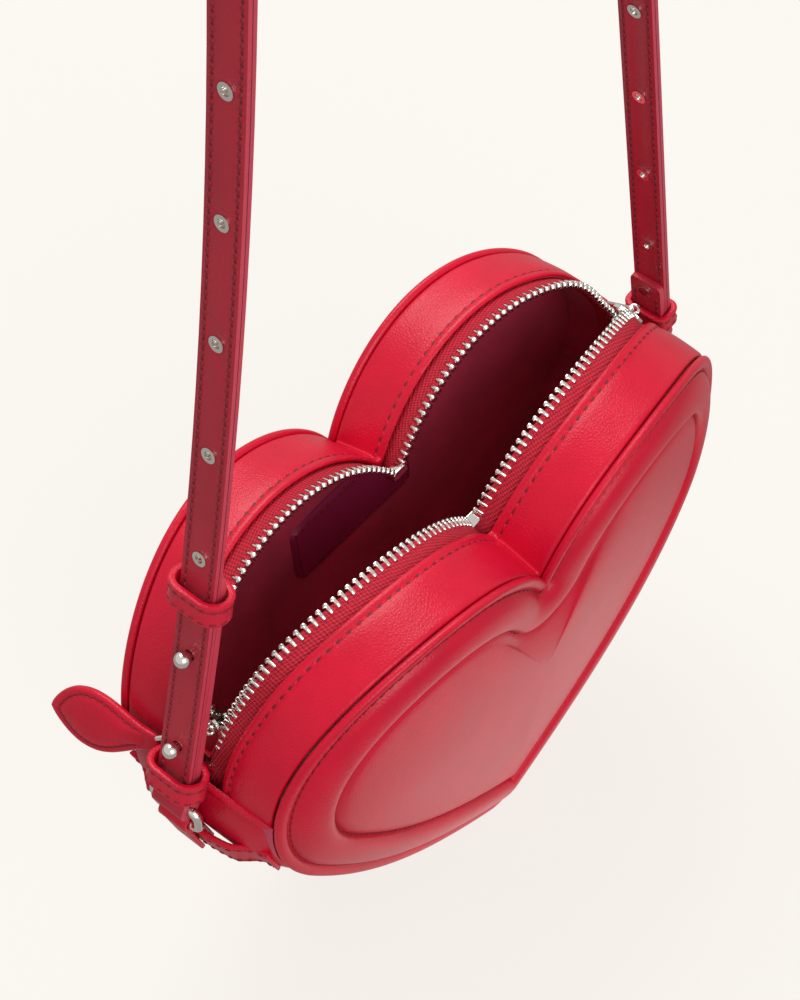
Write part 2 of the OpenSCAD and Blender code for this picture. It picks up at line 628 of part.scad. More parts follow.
// Eyelets line the strap's holes
rim_of_eyelet = 0.35;
module eyelet(s) {
    r = hole_d / 2;
    wall = hole_d * 0.15;
    on_path(s) rotate([0, 90, 0]) rotate_extrude($fn = 32) {
        low = strap_in - seat / 2 - rim_of_eyelet;
        high = strap_out + seat / 2;
        translate([r - wall, low]) square([wall - seat / 2, high - low]);
        for (z = [low, high]) translate([r - wall, z]) square([2 * wall, rim_of_eyelet]);
    }
}

// Keepers: oval loops round the strap and the tab
keeper_in_y = strap_w / 2 + keeper_side;
keeper_in_x = (strap_out + tab_t) / 2 + free * 4;
// The edges of the tab rest against the keeper's round ends
keeper_edge = strap_w / 2 - keeper_in_y + keeper_in_x;
keeper_mid = sqrt(keeper_in_x * keeper_in_x - keeper_edge * keeper_edge) - tab_t - 2 * seat;
module oval(rx, ry) {
    for (s = [-1, 1]) translate([0, s * (ry - rx)]) circle(r = rx, $fn = 64);
    square([2 * rx, 2 * (ry - rx)], center = true);
}
module keeper(s) {
    on_path(s, keeper_mid) linear_extrude(keeper_h, center = true) difference() {
        oval(keeper_in_x + keeper_t, keeper_in_y + keeper_t);
        oval(keeper_in_x, keeper_in_y);
    }
}

// Bare patch on the back lining, following the bow of the panel
patch_w = 58;
patch_h = 30;
patch_z = 82;
patch_t = 1.2;
patch_n = 6;
module patch() {
    y = lining_y + lining_t + free;
    cell = function (i, j, t) let (p = [patch_w * (i / patch_n - 0.5), patch_z + patch_h * j / patch_n])
        [p.x, seam(back_bow, p) - y - t, p.y];
    at = function (i, j, k) (i * (patch_n + 1) + j) * 2 + k;
    n = patch_n;
    polyhedron([for (i = [0:n], j = [0:n], k = [0, 1]) cell(i, j, k * patch_t)], concat(
        [for (i = [0:n - 1], j = [0:n - 1]) each [
            [at(i, j, 0), at(i + 1, j + 1, 0), at(i + 1, j, 0)], [at(i, j, 0), at(i, j + 1, 0), at(i + 1, j + 1, 0)],
            [at(i, j, 1), at(i + 1, j, 1), at(i + 1, j + 1, 1)], [at(i, j, 1), at(i + 1, j + 1, 1), at(i, j + 1, 1)]]],
        [for (i = [0:n - 1]) each [
            [at(i, 0, 0), at(i + 1, 0, 0), at(i + 1, 0, 1)], [at(i, 0, 0), at(i + 1, 0, 1), at(i, 0, 1)],
            [at(i, n, 0), at(i + 1, n, 1), at(i + 1, n, 0)], [at(i, n, 0), at(i, n, 1), at(i + 1, n, 1)]]],
        [for (j = [0:n - 1]) each [
            [at(0, j, 0), at(0, j + 1, 1), at(0, j + 1, 0)], [at(0, j, 0), at(0, j, 1), at(0, j + 1, 1)],
            [at(n, j, 0), at(n, j + 1, 0), at(n, j + 1, 1)], [at(n, j, 0), at(n, j + 1, 1), at(n, j, 1)]]]));
}

// End stops close the tape below each slider
module end_stop() {
    a = slider_angle - slider_l / chain_r * 180 / PI;
    stop_l = tooth_l * 0.5;
    on_lobe(a, chain_r) cube([tooth_h, gusset_depth - 2 * tape_end - 2 * seat, stop_l], center = true);
}

// Sub-parts
module front_panel() { color(red) hung() panel(front_bow); }
module back_panel() { color(red) hung() rear() panel(back_bow); }
module front_board() { color("tan") hung() layer(front_bow, board_y, board_y + board_t); }
module back_board() { color("tan") hung() rear() layer(back_bow, board_y, board_y + board_t); }
module front_lining() { color(lining_red) hung() layer(front_bow, lining_y, lining_y + lining_t); }
module back_lining() { color(lining_red) hung() rear() layer(back_bow, lining_y, lining_y + lining_t); }
module bottom_gusset() {
    color(red) hung() strip([for (r = gusset_rows) band_rows(r[0], r[1], r[2], seat)]);
}
module gusset_lining() {
    y = lining_y + lining_t + seat;
    d = gusset_t + seat;
    color(lining_red) hung() strip([for (a = [90:10:270]) band_rows(a, d, d + lining_t, y)]);
}
module front_zip_gusset() { color(red) hung() strip(swept(mouth_angles, front_bow, strip_rows)); }
module back_zip_gusset() { color(red) hung() rear() strip(swept(mouth_angles, back_bow, strip_rows)); }
module front_zip_tape() { color(red) hung() strip(swept(mouth_angles, front_bow, tape_rows)); }
module back_zip_tape() { color(red) hung() rear() strip(swept(mouth_angles, back_bow, tape_rows)); }
module teeth_front_right() { color(nickel) hung() teeth(front_bow); }
module teeth_front_left() { color(nickel) hung() left() teeth(front_bow); }
module teeth_back_right() { color(nickel) hung() rear() teeth(back_bow); }
module teeth_back_left() { color(nickel) hung() left() rear() teeth(back_bow); }
module front_stop_block() { color(nickel) hung() stop_block(front_bow); }
module back_stop_block() { color(nickel) hung() rear() stop_block(back_bow); }
module end_stop_right() { color(nickel) hung() end_stop(); }
module end_stop_left() { color(nickel) hung() left() end_stop(); }
module slider_right() { color(nickel) hung() slider(); }
module slider_left() { color(nickel) hung() left() slider(); }
module pull_link_right() { color(nickel) hung() pull_link(); }
module pull_link_left() { color(nickel) hung() left() pull_link(); }
module leaf_right() { color(red) hung() leaf(); }
module leaf_left() { color(red) hung() left() leaf(); }
module inner_patch() { color(lining_red) hung() patch(); }
module side_band_right() { color(red) hung() side_band(); }
module side_band_left() { color(red) hung() left() side_band(); }
module ring_loop_right() { color(red) hung() ring_loop(); }
module ring_loop_left() { color(red) hung() left() ring_loop(); }
module side_ring_right() { color(nickel) hung() side_ring(); }
module side_ring_left() { color(nickel) hung() left() side_ring(); }
module tab_right() { color(strap_red) hung() tab(tab_right_l, 1); }
module tab_left() { color(strap_red) hung() left() tab(tab_left_l, 2); }
module studs_left() { color(nickel) hung() left() for (i = [0, 1]) stud(stud_at + i * hole_pitch); }
module stud_right() { color(nickel) hung() stud(stud_at); }
module strap_eyelets() {
    color(nickel) hung() for (i = [0:eyelets - 1]) {
        eyelet(eye_right_at + i * hole_pitch);
        left() eyelet(eye_left + i * hole_pitch);
    }
}
module keeper_left_upper() { color(red) hung() left() keeper(keeper_high); }
module keeper_left_lower() { color(red) hung() left() keeper(keeper_low); }
module keeper_right() { color(red) hung() keeper(keeper_low); }
module shoulder_strap() { color(strap_red) hung() shoulder_strap_body(); }

front_panel();
back_panel();
front_board();
back_board();
front_lining();
back_lining();
bottom_gusset();
gusset_lining();
front_zip_gusset();
back_zip_gusset();
front_zip_tape();
back_zip_tape();
teeth_front_left();
teeth_front_right();
teeth_back_left();
teeth_back_right();
front_stop_block();
back_stop_block();
end_stop_left();
end_stop_right();
slider_left();
slider_right();
pull_link_left();
pull_link_right();
leaf_left();
leaf_right();
inner_patch();
side_band_left();
side_band_right();
ring_loop_left();
ring_loop_right();
side_ring_left();
side_ring_right();
tab_left();
tab_right();
studs_left();
stud_right();
strap_eyelets();
keeper_left_upper();
keeper_left_lower();
keeper_right();
shoulder_strap();
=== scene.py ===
"""Looks of the heart shaped purse: leather, lining, thread and metal round the fixed frame."""

import json
import logging
import math
from dataclasses import dataclass
from enum import Enum
from functools import cached_property
from typing import Any, Callable, Sequence

import bpy
import numpy as np
from mathutils import Matrix, Vector


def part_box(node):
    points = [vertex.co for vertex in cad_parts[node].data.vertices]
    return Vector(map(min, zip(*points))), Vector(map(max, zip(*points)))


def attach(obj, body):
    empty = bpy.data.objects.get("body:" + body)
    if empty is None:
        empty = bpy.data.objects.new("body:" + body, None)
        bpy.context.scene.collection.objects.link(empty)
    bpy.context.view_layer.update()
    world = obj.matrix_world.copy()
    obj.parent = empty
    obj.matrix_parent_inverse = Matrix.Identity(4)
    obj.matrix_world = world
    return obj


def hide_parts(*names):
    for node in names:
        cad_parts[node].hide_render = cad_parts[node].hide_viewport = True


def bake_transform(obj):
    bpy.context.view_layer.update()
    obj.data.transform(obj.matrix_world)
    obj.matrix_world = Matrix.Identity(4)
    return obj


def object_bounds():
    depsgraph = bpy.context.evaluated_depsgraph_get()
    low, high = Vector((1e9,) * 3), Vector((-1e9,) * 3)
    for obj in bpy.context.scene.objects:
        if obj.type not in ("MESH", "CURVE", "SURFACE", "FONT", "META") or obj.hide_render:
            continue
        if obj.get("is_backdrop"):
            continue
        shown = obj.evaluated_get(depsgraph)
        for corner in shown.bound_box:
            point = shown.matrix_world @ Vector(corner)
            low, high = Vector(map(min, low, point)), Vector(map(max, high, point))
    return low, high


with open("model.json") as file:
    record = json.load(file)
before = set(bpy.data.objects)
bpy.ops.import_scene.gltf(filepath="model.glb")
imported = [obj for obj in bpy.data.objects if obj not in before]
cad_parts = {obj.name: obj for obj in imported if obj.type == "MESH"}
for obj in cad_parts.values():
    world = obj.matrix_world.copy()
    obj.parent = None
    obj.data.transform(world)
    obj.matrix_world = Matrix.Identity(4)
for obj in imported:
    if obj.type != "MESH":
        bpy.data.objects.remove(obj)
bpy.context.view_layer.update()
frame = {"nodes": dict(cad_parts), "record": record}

logging.basicConfig(level=logging.INFO, format="%(message)s")
log = logging.getLogger("purse")

Array = np.ndarray
Line = Callable[[Array], Array]
Surface = Callable[[Array, Array], Array]
Shape = tuple[Array, list[list[int]]]
Colour = tuple[float, float, float, float]
MM = 0.001
# Points closer together than this, in metres, are one.
MERGE = 1e-6


class Way(Enum):
    """A choice between the two directions of an axis."""

    @property
    def label(self) -> str:
        """Its name as it stands in the names of the pieces."""
        return self.name.lower()


class Side(Way):
    """Front or back of the purse, as the sign of Y."""

    FRONT = -1
    BACK = 1


class Hand(Way):
    """Left or right of the purse, as the sign of X."""

    LEFT = -1
    RIGHT = 1


def ease(t: Array) -> Array:
    """Smooth step from 0 to 1 while t goes from 0 to 1."""
    t = np.clip(t, 0, 1)
    return t * t * (3 - 2 * t)


def gathered(u: Array, full: float, power: float) -> Array:
    """Angles from -full to full for shares of the way, closer together in the middle."""
    t = 2 * u - 1
    return full * np.sign(t) * np.abs(t) ** power


def there_and_back(v: Array) -> Array:
    """Share that goes from 0 to 1 and back to 0 while v goes from 0 to 1."""
    return 1 - np.abs(2 * v - 1)


def run_length(points: Array) -> Array:
    """Distance of each point from the first one, along the line through them."""
    return np.concatenate([[0], np.cumsum(np.linalg.norm(np.diff(points, axis=0), axis=1))])


def unit(vectors: Array) -> Array:
    """The vectors at length one."""
    return vectors / np.linalg.norm(vectors, axis=1)[:, None]


def square_to(vectors: Array, axis: Array) -> Array:
    """Unit vectors square to unit axes, turned no more than that takes."""
    return unit(vectors - (vectors * axis).sum(1)[:, None] * axis)


def steady(direction: Sequence[float]) -> Line:
    """Rule that gives the same direction all along a row."""
    return lambda s: np.tile(direction, (len(s), 1))


@dataclass(frozen=True)
class Heart:
    """The heart's seam line and the bow of its two faces, in millimetres above the lower corner."""

    width: float = 180.0
    lobe_radius: float = 47.5
    lobe_height: float = 104.0
    lobe_cut: float = math.radians(11.5)
    corner_radius: float = 12.0
    hub_share: float = 0.846
    depth: float = 48.0
    front_bow: float = 11.5
    back_bow: float = 9.0
    bow_power: float = 3.0
    climb_power: float = 1.1
    mouth_rise: float = 4.0
    rise_from: float = math.radians(32)
    rise_full: float = math.radians(60)
    rise_at: float = 22.0

    @cached_property
    def lobe(self) -> Array:
        """Centre of the right lobe."""
        return np.array([self.width / 2 - self.lobe_radius, self.lobe_height])

    @cached_property
    def notch(self) -> Array:
        """Point where the two lobes meet."""
        return np.array([0.0, self.lobe_height + math.sqrt(self.lobe_radius**2 - self.lobe[0] ** 2)])

    @cached_property
    def notch_turn(self) -> float:
        """Angle of the notch on the right lobe."""
        return math.pi - math.asin((self.notch[1] - self.lobe_height) / self.lobe_radius)

    @cached_property
    def leave_turn(self) -> float:
        """Angle where the side's long arc takes over from the lobe."""
        lobe = self.lobe
        apart = math.pi - math.atan2(lobe[1], lobe[0])
        return math.acos(self.lobe_radius / np.linalg.norm(lobe)) - apart + self.lobe_cut

    @cached_property
    def side(self) -> tuple[Array, float]:
        """Centre and radius of the side's long arc."""
        out = np.array([math.cos(self.leave_turn), math.sin(self.leave_turn)])
        start = self.lobe + self.lobe_radius * out
        radius = float(start @ start / (2 * start @ out))
        return start - radius * out, radius

    @cached_property
    def corner(self) -> Array:
        """Centre of the rounded lower corner."""
        centre, radius = self.side
        drop = math.sqrt((radius - self.corner_radius) ** 2 - centre[0] ** 2)
        return np.array([0.0, centre[1] - drop])

    @cached_property
    def hub(self) -> Array:
        """Point that the outline is drawn round."""
        return np.array([0.0, self.lobe_height * self.hub_share])

    @cached_property
    def lowest(self) -> float:
        """Height of the outline's lowest point."""
        return float(self.corner[1] - self.corner_radius)

    def _crossing(self, centre: Array, radius: Array, u: Array, sign: int) -> Array:
        """Distance from the hub along u to the far (1) or near (-1) side of a circle."""
        m = centre - self.hub
        b = u @ m
        return b + sign * np.sqrt(np.maximum(radius**2 - m @ m + b * b, 0.0))

    def _turn(self, x: Array, z: Array) -> Array:
        """Angle of a point about the hub, from the top."""
        return np.arctan2(x, z - self.hub[1])

    def _lobe_turn(self, inset: Array, angle: float) -> Array:
        """Hub angle of the point at an angle on the inset lobe."""
        r = self.lobe_radius - inset
        return self._turn(self.lobe[0] + r * math.cos(angle), self.lobe[1] + r * math.sin(angle))

    def edge(self, angle: Array, inset: Array) -> tuple[Array, Array]:
        """Points of the outline.

        Args:
            angle: Signed angles about the hub, zero at the top and positive towards +X.
            inset: Distances inside the seam line.

        Returns:
            X and Z of the points.
        """
        a, d = np.broadcast_arrays(np.abs(np.asarray(angle, float)), np.asarray(inset, float))
        u = np.stack([np.sin(a), np.cos(a)], -1)
        centre, radius = self.side
        end = centre[:, None] + (self.corner - centre)[:, None] * (radius - d) / (radius - self.corner_radius)
        reach = np.where(
            a < self._lobe_turn(d, self.leave_turn),
            self._crossing(self.lobe, self.lobe_radius - d, u, 1),
            np.where(
                (d >= self.corner_radius) | (a < self._turn(end[0], end[1])),
                self._crossing(centre, radius - d, u, 1),
                self._crossing(self.corner, np.maximum(self.corner_radius - d, 0.0), u, 1),
            ),
        )
        near = self._crossing(self.notch, np.maximum(d, 0.0), u, -1)
        reach = np.where((d > 0) & (a < self._lobe_turn(d, self.notch_turn)), near, reach)
        return np.sign(angle) * reach * u[..., 0], self.hub[1] + reach * u[..., 1]

    def drawn_in(self, x: Array, z: Array, share: Array | float) -> tuple[Array, Array]:
        """Points drawn in to a share of their distance from the hub."""
        return x * share, self.hub[1] + (z - self.hub[1]) * share

    def seam(self, side: Side, x: Array, z: Array) -> Array:
        """Distance of a face's seam surface from the middle plane."""
        bow = self.front_bow if side is Side.FRONT else self.back_bow
        across = 1 - np.minimum(1.0, np.abs(x) / (self.width / 2)) ** self.bow_power
        return self.depth / 2 + bow * across * (np.maximum(z, 0.0) / self.notch[1]) ** self.climb_power

    def rise(self, x: Array, z: Array) -> Array:
        """How far the open zip's teeth stand above the gusset line at a point of the outline."""
        turn = np.arctan2(z - self.lobe[1], np.abs(x) - self.lobe[0])
        return self.mouth_rise * ease((turn - self.rise_from) / (self.rise_full - self.rise_from))


HEART = Heart()
CORNER_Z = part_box("bottom_gusset")[0].z / MM - HEART.lowest


def to_frame(points: Array) -> Array:
    """Points in millimetres above the heart's corner, as metres in the hanging frame."""
    return (np.asarray(points) + np.array([0.0, 0.0, CORNER_Z])) * MM


def from_frame(points: Array) -> Array:
    """Points in metres in the hanging frame, as millimetres above the heart's corner."""
    return points / MM - np.array([0.0, 0.0, CORNER_Z])


def deselect() -> None:
    """Leaves edit mode and deselects every object."""
    if bpy.context.object and bpy.context.object.mode != "OBJECT":
        bpy.ops.object.mode_set(mode="OBJECT")
    bpy.ops.object.select_all(action="DESELECT")


def active(obj: bpy.types.Object) -> None:
    """Selects one object alone and makes it the active one."""
    deselect()
    obj.select_set(True)
    bpy.context.view_layer.objects.active = obj


def read_points(obj: bpy.types.Object) -> Array:
    """The mesh's vertices as an array."""
    flat = np.empty(len(obj.data.vertices) * 3)
    obj.data.vertices.foreach_get("co", flat)
    return flat.reshape(-1, 3)


def write_points(obj: bpy.types.Object, points: Array) -> None:
    """Moves the mesh's vertices."""
    obj.data.vertices.foreach_set("co", np.asarray(points, float).ravel())
    obj.data.update()


def settle(obj: bpy.types.Object) -> None:
    """Puts the object's place into its mesh."""
    active(obj)
    bpy.ops.object.transform_apply(location=True, rotation=True, scale=True)


def apply_modifier(obj: bpy.types.Object, kind: str, **settings: Any) -> None:
    """Adds a modifier with settings and applies it."""
    active(obj)
    modifier = obj.modifiers.new(kind.title(), kind)
    for name, value in settings.items():
        setattr(modifier, name, value)
    bpy.ops.object.modifier_apply(modifier=modifier.name)


def close_up(obj: bpy.types.Object, caps: bool = True) -> None:
    """Merges doubles, closes open ends if wanted and turns the faces outwards."""
    active(obj)
    bpy.ops.object.mode_set(mode="EDIT")
    bpy.ops.mesh.select_mode(type="VERT")
    bpy.ops.mesh.select_all(action="SELECT")
    bpy.ops.mesh.remove_doubles(threshold=MERGE)
    if caps:
        bpy.ops.mesh.fill_holes(sides=0)
    bpy.ops.mesh.select_all(action="SELECT")
    bpy.ops.mesh.normals_make_consistent(inside=False)
    bpy.ops.object.mode_set(mode="OBJECT")


def smooth(obj: bpy.types.Object, angle: float = math.radians(40)) -> None:
    """Shades the object smooth, but for edges sharper than the angle."""
    active(obj)
    bpy.ops.object.shade_smooth_by_angle(angle=angle)


def sheet(name: str, columns: int, rows: int, shape: Surface, caps: bool = True) -> bpy.types.Object:
    """Lofted skin: a grid whose points are carried to a shape.

    Args:
        name: Name of the piece.
        columns: Faces along u.
        rows: Faces along v.
        shape: Rule from u and v, both from 0 to 1, to points in millimetres.
        caps: Whether open ends are closed.

    Returns:
        The finished piece, with its place in its mesh.
    """
    deselect()
    bpy.ops.mesh.primitive_grid_add(x_subdivisions=columns, y_subdivisions=rows, size=1.0)
    obj = bpy.context.object
    obj.name = obj.data.name = name
    flat = read_points(obj)
    write_points(obj, to_frame(shape(flat[:, 0] + 0.5, flat[:, 1] + 0.5)))
    close_up(obj, caps=caps)
    smooth(obj)
    return obj


def bent_line(points: Sequence[Sequence[float]], count: int = 6, closed: bool = False) -> Line:
    """Smooth line through points, as a rule of its share of length.

    Args:
        points: Points that the line passes.
        count: Steps between two points.
        closed: Whether the line returns to its start.

    Returns:
        Rule from shares between 0 and 1 to points on the line.
    """
    p = np.asarray(points, float)
    ends = (p[-1], p[:2]) if closed else (2 * p[0] - p[1], 2 * p[-1] - p[-2])
    p = np.vstack([ends[0], p, ends[1]])
    t = np.linspace(0, 1, count, endpoint=False)[:, None]
    runs = []
    for a, b, c, d in zip(p, p[1:], p[2:], p[3:]):
        square, cube = 2 * a - 5 * b + 4 * c - d, 3 * b - a - 3 * c + d
        runs.append(0.5 * (2 * b + (c - a) * t + square * t**2 + cube * t**3))
    line = np.vstack(runs + [p[-2][None]])
    length = run_length(line)
    share = length / length[-1]
    return lambda s: np.stack([np.interp(s, share, line[:, i]) for i in range(line.shape[1])], -1)


class Socket:
    """A node's output with the operators of arithmetic."""

    def __init__(self, build: "Build", output: bpy.types.NodeSocket) -> None:
        """Wraps one output of a node in a build."""
        self.build = build
        self.output = output

    def _math(self, operation: str, first: Any, second: Any) -> "Socket":
        """Adds one Math node."""
        return self.build.node("ShaderNodeMath", {"operation": operation}, {0: first, 1: second})

    def __add__(self, other: Any) -> "Socket":
        """Sum."""
        return self._math("ADD", self, other)

    def __sub__(self, other: Any) -> "Socket":
        """Difference."""
        return self._math("SUBTRACT", self, other)

    def __mul__(self, other: Any) -> "Socket":
        """Product."""
        return self._math("MULTIPLY", self, other)

    __radd__ = __add__
    __rmul__ = __mul__

    def sine(self) -> "Socket":
        """Sine of the value."""
        return self._math("SINE", self, 0.0)

    def absolute(self) -> "Socket":
        """Value without its sign."""
        return self._math("ABSOLUTE", self, 0.0)

    def ramp(self, low: float, high: float) -> "Socket":
        """Value from 0 at low to 1 at high, clamped."""
        return self.build.node(
            "ShaderNodeMapRange", {"clamp": True}, {"Value": self, "From Min": low, "From Max": high}
        )


def shade(colour: Colour, factor: float) -> Colour:
    """The colour made lighter or darker."""
    return (*(min(1.0, c * factor) for c in colour[:3]), 1.0)


class Build:
    """A node tree under construction, of a material or of the world."""

    def __init__(self, owner: bpy.types.Material | bpy.types.World) -> None:
        """Empties the owner's tree."""
        self.owner = owner
        owner.use_nodes = True
        self.tree = owner.node_tree
        self.tree.nodes.clear()

    def node(
        self,
        kind: str,
        settings: dict[str, Any] | None = None,
        inputs: dict[Any, Any] | None = None,
        output: Any = 0,
    ) -> Socket:
        """Adds a node.

        Args:
            kind: The node's type.
            settings: Its settings.
            inputs: Values or sockets for its inputs, by name or number.
            output: Name or number of the output that is returned.

        Returns:
            The wrapped output.
        """
        made = self.tree.nodes.new(kind)
        for key, value in (settings or {}).items():
            setattr(made, key, value)
        for key, value in (inputs or {}).items():
            if isinstance(value, Socket):
                self.tree.links.new(value.output, made.inputs[key])
            else:
                made.inputs[key].default_value = value
        return Socket(self, made.outputs[output])

    def coordinates(self, uv: bool = False) -> Socket:
        """Object coordinates in metres, or the piece's own UV map."""
        return self.node("ShaderNodeTexCoord", output="UV" if uv else "Object")

    def noise(
        self, scale: float, detail: float = 3.0, stretch: Sequence[float] = (1, 1, 1), uv: bool = False
    ) -> Socket:
        """Noise from 0 to 1 at a scale per metre."""
        place = self.node("ShaderNodeMapping", inputs={"Vector": self.coordinates(uv), "Scale": stretch})
        return self.node("ShaderNodeTexNoise", inputs={"Vector": place, "Scale": scale, "Detail": detail})

    def mix(self, factor: Any, first: Any, second: Any) -> Socket:
        """Mixes two colours."""
        return self.node("ShaderNodeMix", {"data_type": "RGBA"}, {"Factor": factor, 6: first, 7: second}, 2)

    def tones(self, factor: Any, colour: Colour, dark: float, light: float) -> Socket:
        """Mixes a dark and a light tone of one colour."""
        return self.mix(factor, shade(colour, dark), shade(colour, light))

    def bump(self, height: Socket, strength: float, distance: float) -> Socket:
        """Normal that stands for a height."""
        return self.node(
            "ShaderNodeBump", inputs={"Height": height, "Strength": strength, "Distance": distance}
        )

    def close(self, kind: str, surface: Socket) -> None:
        """Links a surface to an output node of a kind."""
        out = self.tree.nodes.new(kind)
        self.tree.links.new(surface.output, out.inputs["Surface"])


class Coat(Build):
    """A material under construction, with one principled surface."""

    def __init__(self, name: str) -> None:
        """Starts a material."""
        super().__init__(bpy.data.materials.new(name))

    def finish(self, **inputs: Any) -> bpy.types.Material:
        """Closes the tree with the surface, whose inputs are named with underscores."""
        named = {key.replace("_", " "): value for key, value in inputs.items()}
        self.close("ShaderNodeOutputMaterial", self.node("ShaderNodeBsdfPrincipled", inputs=named))
        return self.owner


@dataclass(frozen=True)
class Leather:
    """Smooth finished leather with a fine pebbled grain and faint creases, in counts per metre."""

    name: str = "purse_leather"
    colour: Colour = (0.62, 0.004, 0.030, 1.0)
    tones: tuple = (0.88, 1.1)
    roughness: float = 0.34
    grain: float = 0.27
    relief: float = 0.0003
    coat: float = 0.08
    coat_roughness: float = 0.3
    gloss: float = 0.25
    pebbles: float = 1100.0
    pores: float = 2600.0
    pore_height: float = 0.12
    patches: float = 36.0
    creases: float = 150.0
    crease_height: float = 1.2
    crease_stretch: tuple = (1.0, 1.0, 0.3)

    def material(self) -> bpy.types.Material:
        """Makes the material."""
        b = Coat(self.name)
        cells = b.node(
            "ShaderNodeTexVoronoi",
            {"feature": "DISTANCE_TO_EDGE"},
            {"Vector": b.coordinates(), "Scale": self.pebbles, "Randomness": 1.0},
            output="Distance",
        ).ramp(0.0, 0.4)
        fine = b.noise(self.pores, 2.0)
        patches = b.noise(self.patches, 2.0)
        pull = b.noise(self.creases, 2.0, stretch=self.crease_stretch)
        height = cells * (0.3 + 0.7 * patches) + self.pore_height * fine + self.crease_height * pull
        tone = (patches * 0.6 + pull * 0.4).ramp(0.3, 0.75)
        return b.finish(
            Base_Color=b.tones(tone, self.colour, *self.tones),
            Roughness=self.roughness + 0.05 * (fine - 0.5) + 0.06 * (patches - 0.5),
            Normal=b.bump(height, self.grain, self.relief),
            Coat_Weight=self.coat,
            Coat_Roughness=self.coat_roughness,
            Specular_IOR_Level=self.gloss,
        )


@dataclass(frozen=True)
class EdgePaint:
    """Matt paint on cut leather edges."""

    name: str = "painted_edge"
    colour: Colour = (0.60, 0.05, 0.09, 1.0)
    tones: tuple = (0.85, 1.12)
    roughness: float = 0.45
    ripples: float = 420.0
    strength: float = 0.15
    relief: float = 0.0002

    def material(self) -> bpy.types.Material:
        """Makes the material."""
        b = Coat(self.name)
        ripple = b.noise(self.ripples, 2.0)
        return b.finish(
            Base_Color=b.tones(ripple, self.colour, *self.tones),
            Roughness=self.roughness + 0.1 * ripple,
            Normal=b.bump(ripple, self.strength, self.relief),
        )


@dataclass(frozen=True)
class Lining:
    """Brushed lining cloth."""

    name: str = "lining_cloth"
    colour: Colour = (0.52, 0.03, 0.085, 1.0)
    tones: tuple = (0.8, 1.25)
    roughness: float = 0.82
    sheen: float = 0.15
    sheen_roughness: float = 0.4
    fibres: float = 3200.0
    clouds: float = 45.0
    strength: float = 0.35
    relief: float = 0.0003

    def material(self) -> bpy.types.Material:
        """Makes the material."""
        b = Coat(self.name)
        nap = b.noise(self.fibres, 2.0)
        clouds = b.noise(self.clouds, 3.0)
        return b.finish(
            Base_Color=b.tones(clouds.ramp(0.3, 0.7), self.colour, *self.tones),
            Roughness=self.roughness + 0.12 * nap,
            Normal=b.bump(nap + 0.6 * clouds, self.strength, self.relief),
            Sheen_Weight=self.sheen,
            Sheen_Roughness=self.sheen_roughness,
        )


@dataclass(frozen=True)
class ZipTape:
    """Woven zip tape: lumps of yarn that cross in two slanting directions, one rib apart, with painted shade
    in the weave's hollows and a painted highlight on its lumps.
    """

    name: str = "zip_tape"
    colour: Colour = (0.60, 0.005, 0.03, 1.0)
    tones: tuple = (0.3, 1.3)
    roughness: float = 0.62
    rib: float = 0.0017
    slants: tuple = (0.6, 0.55)
    yarn: tuple = (2.6, 1.7)
    fibres: float = 3800.0
    unevenness: float = 500.0
    strength: float = 0.8
    relief: float = 0.0005

    def material(self) -> bpy.types.Material:
        """Makes the material."""
        b = Coat(self.name)
        along = b.node("ShaderNodeSeparateXYZ", inputs={0: b.coordinates(uv=True)}, output="X")
        across = Socket(b, along.output.node.outputs["Y"])
        turn = 2 * math.pi / self.rib
        wander = 2.2 * b.noise(self.unevenness, 1.0, uv=True)
        rising = (along * turn + across * turn * self.slants[0] + wander).sine()
        falling = (across * turn - along * turn * self.slants[1] + wander).sine()
        yarn = (along * (turn * self.yarn[0]) + across * (turn * self.yarn[1])).sine().absolute()
        weave = 0.5 + 0.5 * (rising * falling) + 0.2 * yarn
        fuzz = b.noise(self.fibres, 2.0)
        return b.finish(
            # The colour follows the weave's height: painted shade in its hollows, painted highlight on its
            # lumps.
            Base_Color=b.tones((weave + 0.4 * fuzz).ramp(0.25, 1.2), self.colour, *self.tones),
            Roughness=self.roughness + 0.15 * fuzz,
            Normal=b.bump(weave + 0.3 * fuzz, self.strength, self.relief),
        )


@dataclass(frozen=True)
class Metal:
    """Plated metal, polished or a little brushed."""

    name: str = "nickel"
    colour: Colour = (0.83, 0.81, 0.77, 1.0)
    tones: tuple = (0.9, 1.05)
    roughness: float = 0.1
    haze: float = 260.0
    scratches: float = 900.0
    brushing: tuple = (1.0, 0.2, 1.0)
    strength: float = 0.04
    relief: float = 0.0003

    def material(self) -> bpy.types.Material:
        """Makes the material."""
        b = Coat(self.name)
        haze = b.noise(self.haze, 3.0)
        scratches = b.noise(self.scratches, 2.0, stretch=self.brushing)
        return b.finish(
            Base_Color=b.tones(haze, self.colour, *self.tones),
            Metallic=1.0,
            Roughness=self.roughness + 0.1 * haze * scratches,
            Normal=b.bump(haze + 0.3 * scratches, self.strength, self.relief),
        )


@dataclass(frozen=True)
class Thread:
    """Sewing thread, or the shadow in a needle hole."""

    name: str = "thread"
    colour: Colour = (0.25, 0.004, 0.016, 1.0)
    tones: tuple = (0.7, 1.2)
    roughness: float = 0.6
    strands: float = 2400.0
    strength: float = 0.3
    relief: float = 0.0002

    def material(self) -> bpy.types.Material:
        """Makes the material."""
        b = Coat(self.name)
        twist = b.noise(self.strands, 1.0)
        return b.finish(
            Base_Color=b.tones(twist, self.colour, *self.tones),
            Roughness=self.roughness + 0.1 * twist,
            Normal=b.bump(twist, self.strength, self.relief),
        )


